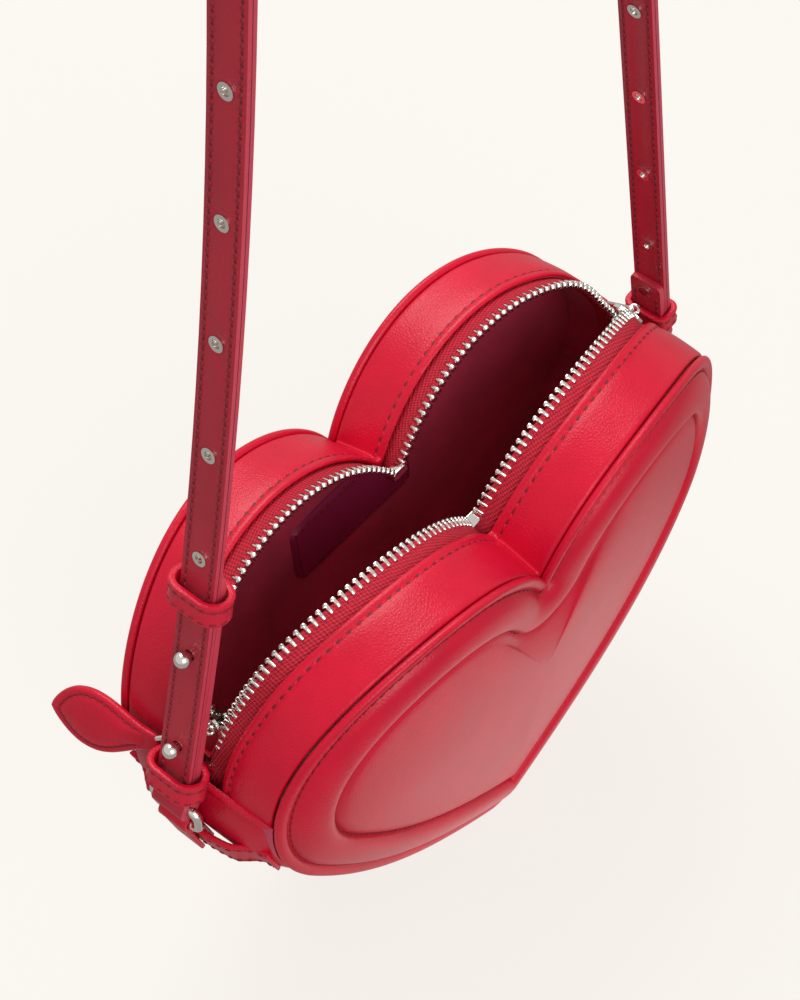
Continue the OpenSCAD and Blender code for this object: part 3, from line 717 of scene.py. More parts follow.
@dataclass(frozen=True)
class Board:
    """Stiffener board inside the panels."""

    name: str = "stiffener_board"
    colour: Colour = (0.32, 0.24, 0.16, 1.0)
    tones: tuple = (0.8, 1.2)
    roughness: float = 0.8
    fibres: float = 700.0
    pressing: tuple = (1.0, 1.0, 0.2)
    strength: float = 0.2
    relief: float = 0.0003

    def material(self) -> bpy.types.Material:
        """Makes the material."""
        b = Coat(self.name)
        fibres = b.noise(self.fibres, 4.0, stretch=self.pressing)
        return b.finish(
            Base_Color=b.tones(fibres, self.colour, *self.tones),
            Roughness=self.roughness + 0.1 * fibres,
            Normal=b.bump(fibres, self.strength, self.relief),
        )


@dataclass
class Finishes:
    """All the materials of the purse, each made once."""

    def __post_init__(self) -> None:
        """Makes the materials."""
        self.leather = Leather().material()
        self.strap = Leather("strap_leather", (0.47, 0.02, 0.042, 1.0), roughness=0.4).material()
        self.keeper = Leather("keeper_leather", (0.62, 0.012, 0.04, 1.0), roughness=0.38).material()
        self.patch = Leather("patch_leather", (0.30, 0.02, 0.08, 1.0), roughness=0.4).material()
        self.edge = EdgePaint().material()
        self.lining = Lining().material()
        self.tape = ZipTape().material()
        self.nickel = Metal().material()
        self.thread = Thread().material()
        # Needle holes are very dark discs: painted shade for the shadow in each hole. The same material draws
        # the dark lines where the strap's layers meet.
        self.hole = Thread("needle_hole", (0.15, 0.002, 0.011, 1.0)).material()
        self.board = Board().material()


def dress(obj: bpy.types.Object, material: bpy.types.Material) -> None:
    """Gives the whole object one material."""
    obj.data.materials.clear()
    obj.data.materials.append(material)


def place(
    obj: bpy.types.Object, body: str, slot: str, material: bpy.types.Material, nodes: Sequence[str] = ()
) -> bpy.types.Object:
    """Dresses a finished piece and ties it to the frame.

    Args:
        obj: The piece.
        body: Body that it moves with.
        slot: The record's material slot; not used.
        material: Its material.
        nodes: Nodes that it stands for.

    Returns:
        The piece.
    """
    dress(obj, material)
    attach(obj, body)
    if nodes:
        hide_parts(*nodes)
    log.info("%s: %d faces on %s", obj.name, len(obj.data.polygons), body)
    return obj


def rounded_copy(node: str, name: str, bevel: float, segments: int = 3) -> bpy.types.Object:
    """Copy of a node with rounded edges.

    Args:
        node: Name of the node.
        name: Name of the copy.
        bevel: Width of the rounding in millimetres.
        segments: Faces across the rounding.

    Returns:
        The copy, not yet tied to the frame.
    """
    flat, sharp, crisp = math.radians(0.5), math.radians(35), math.radians(30)
    obj = bpy.data.objects.new(name, frame["nodes"][node].data.copy())
    bpy.context.scene.collection.objects.link(obj)
    active(obj)
    bpy.ops.object.mode_set(mode="EDIT")
    bpy.ops.mesh.select_all(action="SELECT")
    bpy.ops.mesh.remove_doubles(threshold=2 * MERGE)
    bpy.ops.mesh.dissolve_limited(angle_limit=flat)
    bpy.ops.object.mode_set(mode="OBJECT")
    apply_modifier(
        obj, "BEVEL", width=bevel * MM, segments=segments, limit_method="ANGLE", angle_limit=sharp
    )
    smooth(obj, crisp)
    return obj


@dataclass
class Sewing:
    """Rows of stitches that follow a surface."""

    finishes: Finishes
    samples: int = 4000
    facets: int = 8
    rings: int = 5
    needle_depth: float = 0.12
    crisp: float = math.radians(60)

    def __post_init__(self) -> None:
        """Models one stitch and one needle hole, of unit length and unit width."""
        deselect()
        radius, lying = 0.5, (0, math.pi / 2, 0)
        bpy.ops.mesh.primitive_uv_sphere_add(
            segments=self.facets, ring_count=self.rings, radius=radius, rotation=lying
        )
        self.stitch = self.take(bpy.context.object)
        bpy.ops.mesh.primitive_cylinder_add(vertices=self.facets, radius=radius, depth=self.needle_depth)
        self.needle = self.take(bpy.context.object)

    @staticmethod
    def take(obj: bpy.types.Object) -> Shape:
        """Keeps the mesh of a modelled shape and removes its object."""
        settle(obj)
        shape = read_points(obj), [list(p.vertices) for p in obj.data.polygons]
        bpy.data.objects.remove(obj)
        return shape

    def copies(
        self, name: str, shape: Shape, frames: Array, scale: Sequence[float] = (1, 1, 1)
    ) -> bpy.types.Object:
        """One mesh that holds a copy of a shape in each frame.

        Args:
            name: Name of the piece.
            shape: Points and faces of the shape.
            frames: One 3 by 4 matrix each, in millimetres: along, across, up and place.
            scale: Size along the three axes.

        Returns:
            The piece.
        """
        points, faces = shape
        moved = np.einsum("kij,nj->kni", frames[:, :, :3], points * np.array(scale)) + frames[:, None, :, 3]
        count = len(points)
        copied = [[i + k * count for i in face] for k in range(len(frames)) for face in faces]
        mesh = bpy.data.meshes.new(name)
        mesh.from_pydata(to_frame(moved.reshape(-1, 3)).tolist(), [], copied)
        obj = bpy.data.objects.new(name, mesh)
        bpy.context.scene.collection.objects.link(obj)
        smooth(obj, self.crisp)
        return obj

    def row(
        self,
        name: str,
        body: str,
        line: Line,
        lift: Line,
        pitch: float,
        slot: str = "red_leather",
        fill: float = 0.66,
        sink: float = 0.0,
        slant: float = 0.06,
        width: float = 0.62,
        hole: tuple[float, float] = (0.62, 0.5),
        thread: bpy.types.Material | None = None,
    ) -> None:
        """Sews one row.

        Args:
            name: Name of the row.
            body: Body that it moves with.
            line: Rule from shares between 0 and 1 to points on the surface, in millimetres.
            lift: Rule to the surface's outward directions at the same shares.
            pitch: Distance from stitch to stitch.
            slot: The record's material slot.
            fill: Share of the pitch that the thread covers.
            sink: Depth of the thread below the surface.
            slant: Turn of each stitch from the row's direction, in radians.
            width: Width of the thread.
            hole: Length and width of the needle holes.
            thread: Material of the thread, where it isn't the dark one.
        """
        s = np.linspace(0, 1, self.samples)
        length = run_length(line(s))
        count = max(2, int(round(length[-1] / pitch)))
        step = length[-1] / count
        middle = np.interp((np.arange(count) + 0.5) * step, length, s)
        start = np.interp(np.arange(count) * step, length, s)
        sewn = self._frames(line, lift, middle, slant)
        sewn[:, :, 3] -= sewn[:, :, 2] * sink
        pierced = self._frames(line, lift, start, 0.0)
        for kind, shape, frames, scale, material in (
            ("thread", self.stitch, sewn, (step * fill, width, width), thread or self.finishes.thread),
            # The needle holes: dark discs of painted shade.
            ("holes", self.needle, pierced, (*hole, 1.0), self.finishes.hole),
        ):
            place(self.copies(f"{name}_{kind}", shape, frames, scale), body, slot, material)

    @staticmethod
    def _frames(line: Line, lift: Line, s: Array, slant: float) -> Array:
        """Frames at shares of a line: along, across, up and place."""
        near = 1e-4
        along = unit(line(np.clip(s + near, 0, 1)) - line(np.clip(s - near, 0, 1)))
        up = square_to(lift(s), along)
        turned = math.cos(slant) * along + math.sin(slant) * np.cross(up, along)
        return np.stack([turned, np.cross(up, turned), up, line(s)], -1)


@dataclass
class Assembly:
    """Pieces of the purse that belong together, with what dresses and sews them."""

    finishes: Finishes
    sewing: Sewing


@dataclass
class Panel(Assembly):
    """One padded heart: a turned rim, a puffed ring and a domed centre sewn in.

    The section lists insets from the seam line and heights over the seam surface, from the rim's
    underside to the foot of the dome. The stitches lie at an inset and a height of the section.
    """

    side: Side
    gap: float = 0.1
    rim_stitch: tuple = (3.75, 1.8)
    heart_stitch: tuple = (14.9, 3.0)
    dome: float = 7.4
    stitch: float = 2.9
    grid: tuple = (480, 96)
    steps: int = 8
    gather: float = 1.25
    back_share: float = 0.2
    front_share: float = 0.78
    section: tuple = (
        (3.0, 0.0), (0.9, 0.05), (0.2, 0.5), (-0.15, 1.2), (0.0, 1.9), (0.4, 2.3), (1.1, 2.45),
        (2.0, 2.35), (2.7, 2.0), (3.25, 1.4), (3.6, 1.6), (4.1, 2.3), (5.0, 3.3), (6.6, 4.3),
        (8.6, 5.0), (10.6, 5.4), (12.2, 5.4), (13.4, 5.0), (14.2, 4.2), (14.65, 3.3),
        (14.9, 2.8), (15.25, 3.1), (16.2, 3.9), (18.0, 4.7),
    )

    def skin(self, u: Array, d: Array | float, h: Array | float, k: Array | float = 1.0) -> Array:
        """Points of the panel at inset d and height h, k of the way from the hub."""
        x, z = HEART.drawn_in(*HEART.edge(gathered(u, math.pi, self.gather), d), k)
        return np.stack([x, self.side.value * (HEART.seam(self.side, x, z) + self.gap + h), z], -1)

    def shape(self, u: Array, v: Array) -> Array:
        """The whole closed skin: the flat back, the rim and ring, and the dome."""
        line = bent_line(self.section, self.steps)
        back, front = self.back_share, self.front_share
        p = line(np.clip((v - back) / (front - back), 0, 1))
        inner = np.clip((v - front) / (1 - front), 0, 1)
        k = np.where(v < back, v / back, np.where(v > front, 1 - inner, 1.0))
        top = self.section[-1][1]
        h = np.where(v > front, top + (self.dome - top) * (1 - (1 - inner) ** 2), p[:, 1])
        return self.skin(u, p[:, 0], h, k)

    def sew(self, name: str, inset: float, height: float) -> None:
        """Sews a row round the panel at an inset and a height."""
        self.sewing.row(
            f"{self.side.label}_{name}", "bag", lambda s: self.skin(s, inset, height),
            steady([0.0, self.side.value, 0.0]), self.stitch,
        )

    def build(self) -> None:
        """Makes the skin, its rim stitches and the stitches of the inner heart."""
        label = self.side.label
        obj = sheet(f"{label}_padded_panel", *self.grid, self.shape)
        place(obj, "bag", "red_leather", self.finishes.leather, [f"{label}_panel"])
        self.sew("rim_stitch", *self.rim_stitch)
        self.sew("heart_stitch", *self.heart_stitch)


def two_tone(
    obj: bpy.types.Object, material: bpy.types.Material, test: Callable[[bpy.types.MeshPolygon], bool]
) -> None:
    """Gives the faces that pass a test a second material."""
    obj.data.materials.append(material)
    for face in obj.data.polygons:
        if test(face):
            face.material_index = 1


def faces_hub(face: bpy.types.MeshPolygon) -> bool:
    """Whether a face of the gussets looks into the purse, within 60 degrees."""
    least_facing = 0.5
    to_hub = Vector(to_frame([0.0, 0.0, HEART.hub[1]])) - face.center
    to_hub.y = 0.0
    return face.normal.dot(to_hub.normalized()) > least_facing


@dataclass
class Gussets(Assembly):
    """The leather strips beside the zip, the bottom gusset, the tapes and the lining.

    Sections list insets from the seam line, with the reach inwards from the seam for strip and tape,
    and with the share of the way from front to back for the bottom gusset and the lining's band. The
    bulge lists degrees from the bottom gusset's edge with its height there, and the lip lists heights
    with their degrees.
    """

    mouth: float = math.radians(85.8)
    gather: float = 1.2
    stitch: float = 3.2
    stitch_at: float = 13.9
    stitch_margin: float = 0.01
    stitch_sink: float = 0.12
    stitch_hole: tuple = (1.45, 0.72)
    tooth_at: float = 21.95
    tooth_inset: float = 2.2
    tooth_pitch: float = 2.3
    tooth_thick: float = 1.7
    tooth_bevel: float = 0.16
    chain_start: tuple = (84.86, 119.92)
    chain_samples: int = 3000
    block_room: float = 0.6
    block_bevel: float = 0.35
    block_lift: float = 2.2
    notch_slope: float = 2.0
    notch_ease: float = 1.5
    pinch: float = 0.45
    pinch_turn: float = 0.012
    pinch_under: float = 0.7
    strip_grid: tuple = (420, 64)
    tape_grid: tuple = (420, 40)
    tape_uv: tuple = (0.33, 0.02)
    bottom_grid: tuple = (420, 72)
    bottom_outer: float = -0.1
    bottom_thick: float = 1.75
    lap: float = 9.5
    bulge: tuple = ((0.0, 1.0), (2.0, 1.15), (5.0, 2.2), (10.0, 3.5), (14.0, 3.2), (22.0, 1.3), (34.0, 0.0))
    bulge_samples: int = 200
    bulge_squareness: int = 6
    lip: tuple = ((0.4, 0.6), (-0.25, 1.7))
    lip_width: float = 0.45
    nose: float = 1.3
    nose_over: float = 0.35
    lift_off: float = 2.1
    lift_off_after: float = 0.5
    lift_off_over: float = 0.4
    even_share: float = 0.4
    margin: float = 0.2
    cloth_grid: tuple = (240, 64)
    cloth_band_grid: tuple = (240, 48)
    cloth_inset: float = 2.0
    cloth_depths: tuple = (1.8, 2.4)
    cloth_gap: float = 0.2
    cloth_ripple: float = 0.25
    cloth_waves: tuple = (0.19, 0.05, 0.13)
    cloth_turn: float = math.radians(88)
    cloth_margin: float = 3.0
    strip_section: tuple = (
        (1.0, 0.2), (0.4, 0.35), (0.05, 0.9), (-0.1, 2.0), (-0.35, 5.0), (-0.5, 8.5), (-0.4, 11.5),
        (-0.12, 13.2), (0.08, 13.9), (-0.12, 14.5), (-0.1, 15.4), (0.15, 16.1), (0.6, 16.45),
        (1.1, 16.4), (1.5, 16.0), (1.65, 15.0), (1.65, 9.0), (1.65, 2.0), (1.5, 0.4),
    )
    tape_section: tuple = (
        (1.8, 13.9), (1.8, 16.5), (1.85, 20.3), (1.75, 21.0), (1.8, 21.8), (2.2, 22.2), (2.6, 21.8),
        (2.65, 21.0), (2.55, 20.3), (2.5, 16.5), (2.5, 13.9),
    )
    bottom_section: tuple = (
        (1.0, 0.0), (0.4, 0.003), (0.05, 0.014), (-0.1, 0.035), (-0.45, 0.15), (-0.6, 0.35), (-0.65, 0.5),
        (-0.6, 0.65), (-0.45, 0.85), (-0.1, 0.965), (0.05, 0.986), (0.4, 0.997), (1.0, 1.0),
        (1.65, 0.985), (1.65, 0.5), (1.65, 0.015),
    )
    cloth_section: tuple = ((1.85, 0.0), (1.85, 0.5), (1.85, 1.0), (2.4, 1.0), (2.5, 0.5), (2.4, 0.0))
    tooth_outline: tuple = (
        (-0.45, -1.5), (0.45, -1.5), (0.48, 0.4), (0.52, 1.05), (0.38, 1.42), (0.0, 1.55), (-0.5, 1.45),
        (-0.95, 1.1), (-1.0, 0.75), (-0.8, 0.55), (-0.5, 0.6), (-0.44, -0.3),
    )

    def swept(self, side: Side, angle: Array, inset: Array | float, reach: Array | float) -> Array:
        """Points of the open mouth's strips, reach millimetres inwards from the seam."""
        x0, z0 = HEART.edge(angle, 0.0)
        up = HEART.rise(x0, z0) * (reach / HEART.rise_at) ** 2
        x, z = HEART.edge(angle, inset - up)
        eased = np.clip((reach - self.stitch_at) / (HEART.rise_at - self.stitch_at), 0, 1)
        z = z + eased * (np.hypot(self.notch_slope * x, self.notch_ease) - self.notch_slope * np.abs(x))
        return np.stack([x, side.value * (HEART.seam(side, x0, z0) - reach), z], -1)

    def mouth_angle(self, u: Array) -> Array:
        """Hub angles along the mouth, closer together at the notch."""
        return gathered(u, self.mouth, self.gather)

    def strip(self, side: Side) -> None:
        """One leather strip with its turned edge and its row of stitches."""
        section = bent_line(self.strip_section, closed=True)

        def shape(u: Array, v: Array) -> Array:
            """Skin of the strip, with a pinched seam at the notch."""
            a = self.mouth_angle(u)
            p = section(v)
            pinch = self.pinch * np.exp(-((a / self.pinch_turn) ** 2)) * (p[:, 0] < self.pinch_under)
            return self.swept(side, a, p[:, 0] - pinch, p[:, 1])

        obj = sheet(f"{side.label}_zip_strip", *self.strip_grid, shape)
        place(obj, "bag", "red_leather", self.finishes.leather, [f"{side.label}_zip_gusset"])
        two_tone(obj, self.finishes.lining, faces_hub)

        def line(s: Array, inset: float = 0.0) -> Array:
            """Line of the stitches, or the same line at an inset."""
            a = self.mouth_angle(self.stitch_margin + (1 - 2 * self.stitch_margin) * s)
            return self.swept(side, a, inset, self.stitch_at)

        def lift(s: Array) -> Array:
            """Outward direction at the stitches."""
            return line(s, -1.0) - line(s)

        self.sewing.row(
            f"{side.label}_zip_stitch", "bag", line, lift, self.stitch, sink=self.stitch_sink,
            hole=self.stitch_hole, thread=self.finishes.leather,
        )

    def tape(self, side: Side) -> None:
        """One woven tape with its corded edge under the teeth."""
        section = bent_line(self.tape_section, closed=True)

        def shape(u: Array, v: Array) -> Array:
            """Skin of the tape."""
            p = section(v)
            return self.swept(side, self.mouth_angle(u), p[:, 0], p[:, 1])

        obj = sheet(f"{side.label}_tape", *self.tape_grid, shape)
        self._measure_uv(obj)
        place(obj, "bag", "zip_tape", self.finishes.tape, [f"{side.label}_zip_tape"])

    def _measure_uv(self, obj: bpy.types.Object) -> None:
        """Scales the grid's UV map to metres along and round the tape."""
        layer = obj.data.uv_layers.active.data
        flat = np.empty(len(layer) * 2)
        layer.foreach_get("uv", flat)
        layer.foreach_set("uv", (flat.reshape(-1, 2) * self.tape_uv).ravel())

    def chain(self, side: Side, hand: Hand) -> None:
        """The teeth of one side of the open zip, from the slider to the stop block, spaced evenly."""
        node = f"teeth_{side.label}_{hand.label}"
        start = math.atan2(self.chain_start[0], self.chain_start[1] - HEART.hub[1])
        angle = np.linspace(start, 0.0, self.chain_samples)
        middle = self.swept(side, angle, self.tooth_inset, self.tooth_at)
        free = middle[:, 0] > min(abs(c.x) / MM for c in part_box(node)) + self.block_room
        length = run_length(middle[free])
        count = int(length[-1] / self.tooth_pitch)
        a = hand.value * np.interp(np.linspace(0, length[-1], count + 1), length, angle[free])

        def point(turn: float, reach: float) -> Array:
            """Points of the chain, moved along it and across it."""
            return self.swept(side, a + turn, self.tooth_inset, self.tooth_at + reach)

        turn, reach = 1e-4, 0.1
        along = unit(point(turn, 0.0) - point(-turn, 0.0))
        across = square_to(point(0.0, reach) - point(0.0, -reach), along)
        frames = np.stack([along, across, np.cross(along, across), point(0.0, 0.0)], -1)
        obj = self.sewing.copies(f"{node}_row", self.tooth, frames)
        place(obj, "bag", "nickel", self.finishes.nickel, [node])

    def stop_block(self, side: Side) -> None:
        """The polished block that joins the two runs of teeth at the notch."""
        node = f"{side.label}_stop_block"
        obj = rounded_copy(node, f"{node}_polished", self.block_bevel, segments=2)
        write_points(obj, read_points(obj) + [0.0, 0.0, self.block_lift * MM])
        place(obj, "bag", "nickel", self.finishes.nickel, [node])

    def model_tooth(self) -> Shape:
        """One tooth: a narrow stem whose head hooks to one side, with eased edges."""
        deselect()
        bpy.ops.mesh.primitive_circle_add(vertices=len(self.tooth_outline), fill_type="NGON")
        obj = bpy.context.object
        write_points(obj, np.array([(x, y, 0.0) for x, y in self.tooth_outline]))
        apply_modifier(obj, "SOLIDIFY", thickness=self.tooth_thick, offset=0.0)
        apply_modifier(obj, "BEVEL", width=self.tooth_bevel, segments=1)
        close_up(obj, caps=False)
        return self.sewing.take(obj)

    def band(self, angle: Array, inset: Array, across: Array, margin: float) -> Array:
        """Points of a band round the bottom.

        Args:
            angle: Hub angles, which may go on past the lower corner.
            inset: Distances inside the seam line.
            across: Shares of the way from the front seam to the back one.
            margin: Distance kept from both seams.

        Returns:
            The points.
        """
        angle = np.where(angle > math.pi, angle - 2 * math.pi, angle)
        x0, z0 = HEART.edge(angle, 0.0)
        x, z = HEART.edge(angle, inset)
        front, back = (HEART.seam(side, x0, z0) - margin for side in Side)
        return np.stack([x, -front + (front + back) * across, z], -1)

    def bottom(self) -> None:
        """The bottom gusset, whose ends lap over the zip strips with a rolled edge."""
        start = self.mouth - math.radians(self.lap)
        total = 2 * (math.pi - start)
        section = bent_line(self.bottom_section, closed=True)
        swell = bent_line(self.bulge, 8)(np.linspace(0, 1, self.bulge_samples))

        def shape(u: Array, v: Array) -> Array:
            """Skin of the gusset, puffed beside the side bands and rolled at its ends."""
            u = self.even_share * u + (1 - self.even_share) / 2 * (1 - np.cos(math.pi * u))
            p = section(v)
            end = np.degrees(np.minimum(u, 1 - u) * total)
            inner = np.clip((p[:, 0] - self.bottom_outer) / self.bottom_thick, 0, 1)
            flank = np.abs(2 * p[:, 1] - 1) ** self.bulge_squareness
            proud = np.interp(end, swell[:, 0], swell[:, 1]) * (1 - flank)
            lip = sum(high * np.exp(-(((end - at) / self.lip_width) ** 2)) for high, at in self.lip)
            nose = self.nose * np.clip(1 - end / self.nose_over, 0, 1) ** 2
            lifted = np.clip(1 - (end - self.lap - self.lift_off_after) / self.lift_off_over, 0, 1)
            d = p[:, 0] - (1 - inner) * (proud + lip - nose) - inner * lifted * self.lift_off
            return self.band(start + total * u, d, p[:, 1], self.margin)

        obj = sheet("bottom_gusset_leather", *self.bottom_grid, shape)
        place(obj, "bag", "red_leather", self.finishes.leather, ["bottom_gusset"])
        two_tone(obj, self.finishes.lining, faces_hub)

    def lining(self) -> None:
        """The lining's two faces and its band, each a thin closed skin."""
        near, far = self.cloth_depths
        across, down, up = self.cloth_waves
        for side in Side:

            def shape(u: Array, v: Array, side: Side = side) -> Array:
                """One face, from the hub out and back, with a slight ripple on its inside."""
                angle = gathered(u, math.pi, self.gather)
                x, z = HEART.drawn_in(*HEART.edge(angle, self.cloth_inset), there_and_back(v))
                ripple = self.cloth_ripple * np.sin(x * across + z * down) * np.sin(z * up)
                depth = np.where(v < 0.5, near, far) + ripple * (v > 0.5) + self.cloth_gap
                return np.stack([x, side.value * (HEART.seam(side, x, z) - depth), z], -1)

            obj = sheet(f"{side.label}_lining_cloth", *self.cloth_grid, shape)
            place(obj, "bag", "lining", self.finishes.lining, [f"{side.label}_lining"])
        section = bent_line(self.cloth_section, closed=True)

        def loop(u: Array, v: Array) -> Array:
            """The lining's band round the bottom."""
            p = section(v)
            angle = self.cloth_turn + 2 * (math.pi - self.cloth_turn) * u
            return self.band(angle, p[:, 0], p[:, 1], self.cloth_margin)

        obj = sheet("gusset_lining_cloth", *self.cloth_band_grid, loop)
        place(obj, "bag", "lining", self.finishes.lining, ["gusset_lining"])

    def build(self) -> None:
        """Makes all the pieces between the two panels."""
        self.tooth = self.model_tooth()
        for side in Side:
            self.strip(side)
            self.tape(side)
            for hand in Hand:
                self.chain(side, hand)
            self.stop_block(side)
        self.bottom()
        self.lining()


@dataclass(frozen=True)
class StrapPath:
    """One side of the strap's path from its ring, as in the fixed frame: lengths in millimetres."""

    hand: Hand
    lean_low: float
    lean_high: float
    radius: float = 1310.0
    ring: tuple = (97.954, 107.545)

    def lean(self, s: Array) -> Array:
        """Lean inwards at a distance from the ring, in radians."""
        bent = math.radians(self.lean_low) - np.asarray(s, float) / self.radius
        return np.maximum(bent, math.radians(self.lean_high))

    def at(self, s: Array, across: Array | float, out: Array | float) -> Array:
        """Points at a distance along the path, across the strap and outwards from the path."""
        s, across, out = np.broadcast_arrays(np.asarray(s, float), across, out)
        low = math.radians(self.lean_low)
        a = self.lean(s)
        straight = np.maximum(s - self.radius * (low - math.radians(self.lean_high)), 0)
        x = self.ring[0] - self.radius * (np.cos(a) - math.cos(low)) - straight * np.sin(a)
        z = self.ring[1] + self.radius * (math.sin(low) - np.sin(a)) + straight * np.cos(a)
        return np.stack([self.hand.value * (x + out * np.cos(a)), across, z + out * np.sin(a)], -1)

    def outwards(self, s: Array | float) -> Array:
        """Direction away from the bag at a distance from the ring."""
        a = self.lean(s)
        return np.stack([self.hand.value * np.cos(a), np.zeros_like(a), np.sin(a)], -1)

    def upwards(self, s: Array | float) -> Array:
        """Direction along the strap at a distance from the ring."""
        a = self.lean(s)
        return np.stack([-self.hand.value * np.sin(a), np.zeros_like(a), np.cos(a)], -1)


LEFT_PATH = StrapPath(Hand.LEFT, 17.2, 7.2)
RIGHT_PATH = StrapPath(Hand.RIGHT, 9.35356, 9.35356)


@dataclass(frozen=True)
class Hollow:
    """Inside of a keeper: half its thickness and width, its corners' radius, and whether it hangs loose."""

    thick: float
    wide: float
    corner: float
    loose: bool

    def outline(self, turn: Array, grow: Array | float) -> tuple[Array, Array]:
        """Point of its rounded rectangle.

        Args:
            turn: Angles round the outline, from 0 to a full turn.
            grow: Distances outside the outline.

        Returns:
            The points' places outwards from the bag and across the strap.
        """
        eighth = np.clip(turn / (2 * math.pi), 0, 1) * 8
        part_of = np.minimum(eighth.astype(int), 7)
        part = eighth - part_of
        straight = part_of % 2 == 0
        bend = (part_of // 2 + np.where(straight, 0.0, part)) * math.pi / 2
        centres = np.array([(1, -1), (1, 1), (-1, 1), (-1, -1), (1, -1)])
        centres = centres * [self.thick - self.corner, self.wide - self.corner]
        start, stop = centres[(part_of + 1) // 2], centres[part_of // 2 + 1]
        base = start + (stop - start) * np.where(straight, part, 0.0)[:, None]
        r = self.corner + grow
        return base[:, 0] + r * np.cos(bend), base[:, 1] + r * np.sin(bend)


ROUND_KEEPER = Hollow(3.35, 6.6, 3.33, loose=True)
FLAT_KEEPER = Hollow(2.4, 5.3, 0.9, loose=False)


@dataclass
class Strap(Assembly):
    """The strap, its tabs and keepers, with their stitches.

    A keeper's section lists distances outside its hollow and heights along the strap.
    """

    half: float = 5.0
    thick: float = 2.4
    seat: float = 0.1
    tab: float = 1.8
    bevels: tuple = (("shoulder_strap", 0.55), ("tab_left", 0.4), ("tab_right", 0.4))
    tabs: tuple = ((LEFT_PATH, "strap_left", 79.0), (RIGHT_PATH, "strap_right", 25.0))
    edge_facing: float = 0.8
    square_from: float = 20.0
    squareness: int = 7
    stitch: float = 2.7
    margin: float = 1.35
    stitch_sink: float = 0.08
    stitch_width: float = 0.9
    stitch_hole: tuple = (0.85, 0.8)
    rows_from: tuple = (5.5, 1.0, 5.0)
    rows_to: float = 520.0
    edge_from: float = 6.0
    bead_proud: float = 0.02
    bead: tuple = (0.05, 0.09)
    bead_grid: tuple = (60, 6)
    keeper_grid: tuple = (96, 40)
    keeper_slack: float = 0.2
    rim_facing: float = 0.6
    keeper_rows: tuple = (-0.6, 3.1)
    keeper_row_out: float = 1.52
    keeper_row_width: float = 0.7
    keepers: tuple = (
        ("keeper_left_lower", "lower_keeper_left", LEFT_PATH, 7.5, ROUND_KEEPER),
        ("keeper_left_upper", "upper_keeper_left", LEFT_PATH, 68.5, ROUND_KEEPER),
        ("keeper_right", "lower_keeper_right", RIGHT_PATH, 7.5, FLAT_KEEPER),
    )
    keeper_section: tuple = (
        (0.15, -1.5), (0.5, -1.7), (1.35, -1.65), (1.7, -1.2), (1.58, -0.3), (1.5, 1.6), (1.6, 3.4),
        (1.85, 4.1), (1.85, 4.75), (1.4, 5.05), (0.6, 5.0), (0.15, 4.6), (0.1, 1.6),
    )

    def layer(self, node: str, bevel: float) -> None:
        """One leather layer, with paint on its cut edges."""
        obj = rounded_copy(node, f"{node}_leather", bevel)
        if node == "tab_right":
            self.square_end(obj, RIGHT_PATH)
        place(obj, "strap", "strap_leather", self.finishes.strap, [node])
        two_tone(obj, self.finishes.edge, lambda f: abs(f.normal.y) > self.edge_facing)

    def square_end(self, obj: bpy.types.Object, path: StrapPath) -> None:
        """Fills out a tab's round end, on a straight side of the strap, to a square one."""
        up, out = path.upwards(0.0)[[0, 2]], path.outwards(0.0)[[0, 2]]
        ring = np.array([path.hand.value * path.ring[0], 0.0, path.ring[1]])
        p = from_frame(read_points(obj)) - ring
        s, off, y = p[:, [0, 2]] @ up, p[:, [0, 2]] @ out, p[:, 1]
        along, wide = np.clip((s - self.square_from) / self.half, 0, None), np.abs(y) / self.half
        power = self.squareness
        full = np.hypot(along, wide) / np.maximum((along**power + wide**power) ** (1 / power), 1e-9)
        k = np.where(along > 0, full, 1.0)
        s, y = np.where(along > 0, self.square_from + self.half * along * k, s), y * k
        flat = s[:, None] * up + off[:, None] * out
        write_points(obj, to_frame(np.stack([flat[:, 0], y, flat[:, 1]], -1) + ring))

    def rows(self, path: StrapPath, name: str, start: float, stop: float, out: float, face: int) -> None:
        """Two rows of stitches along a face that looks outwards (1) or inwards (-1)."""
        for side in Side:

            def line(s: Array, side: Side = side) -> Array:
                """Line of the row."""
                return path.at(start + (stop - start) * s, side.value * (self.half - self.margin), out)

            def lift(s: Array) -> Array:
                """Direction that the row faces."""
                return face * path.outwards(start + (stop - start) * s)

            self.sewing.row(
                f"{name}_{side.label}", "strap", line, lift, self.stitch, "strap_leather",
                sink=self.stitch_sink, width=self.stitch_width, hole=self.stitch_hole,
            )

    def layers_line(self, path: StrapPath, name: str, start: float, stop: float) -> None:
        """Thin dark lines on the painted edges, where two layers of leather meet."""
        for side in Side:

            def shape(u: Array, v: Array, side: Side = side) -> Array:
                """A thin bead along the edge."""
                turn = 2 * math.pi * v
                across = side.value * (self.half + self.bead_proud + self.bead[0] * np.cos(turn))
                out = self.seat + self.thick / 2 + self.bead[1] * np.sin(turn)
                return path.at(start + (stop - start) * u, across, out)

            obj = sheet(f"{name}_{side.label}", *self.bead_grid, shape)
            place(obj, "strap", "strap_leather", self.finishes.hole)

    def keeper(self, node: str, body: str, path: StrapPath, at: float, hollow: Hollow) -> None:
        """One keeper: a loop of thick leather with a rolled upper edge and two rows of stitches.

        Args:
            node: Node that it stands for.
            body: Body that it moves with.
            path: Side of the strap that it slides on.
            at: Distance of its middle from the ring.
            hollow: Its inside.
        """
        middle = (self.seat + self.thick - self.tab) / 2
        if hollow.loose:
            seated = self.half - hollow.wide + hollow.thick
            middle = math.sqrt(hollow.thick**2 - seated**2) - self.tab - self.keeper_slack
        up, out = path.upwards(at), path.outwards(at)
        base = path.at(at, 0.0, middle)

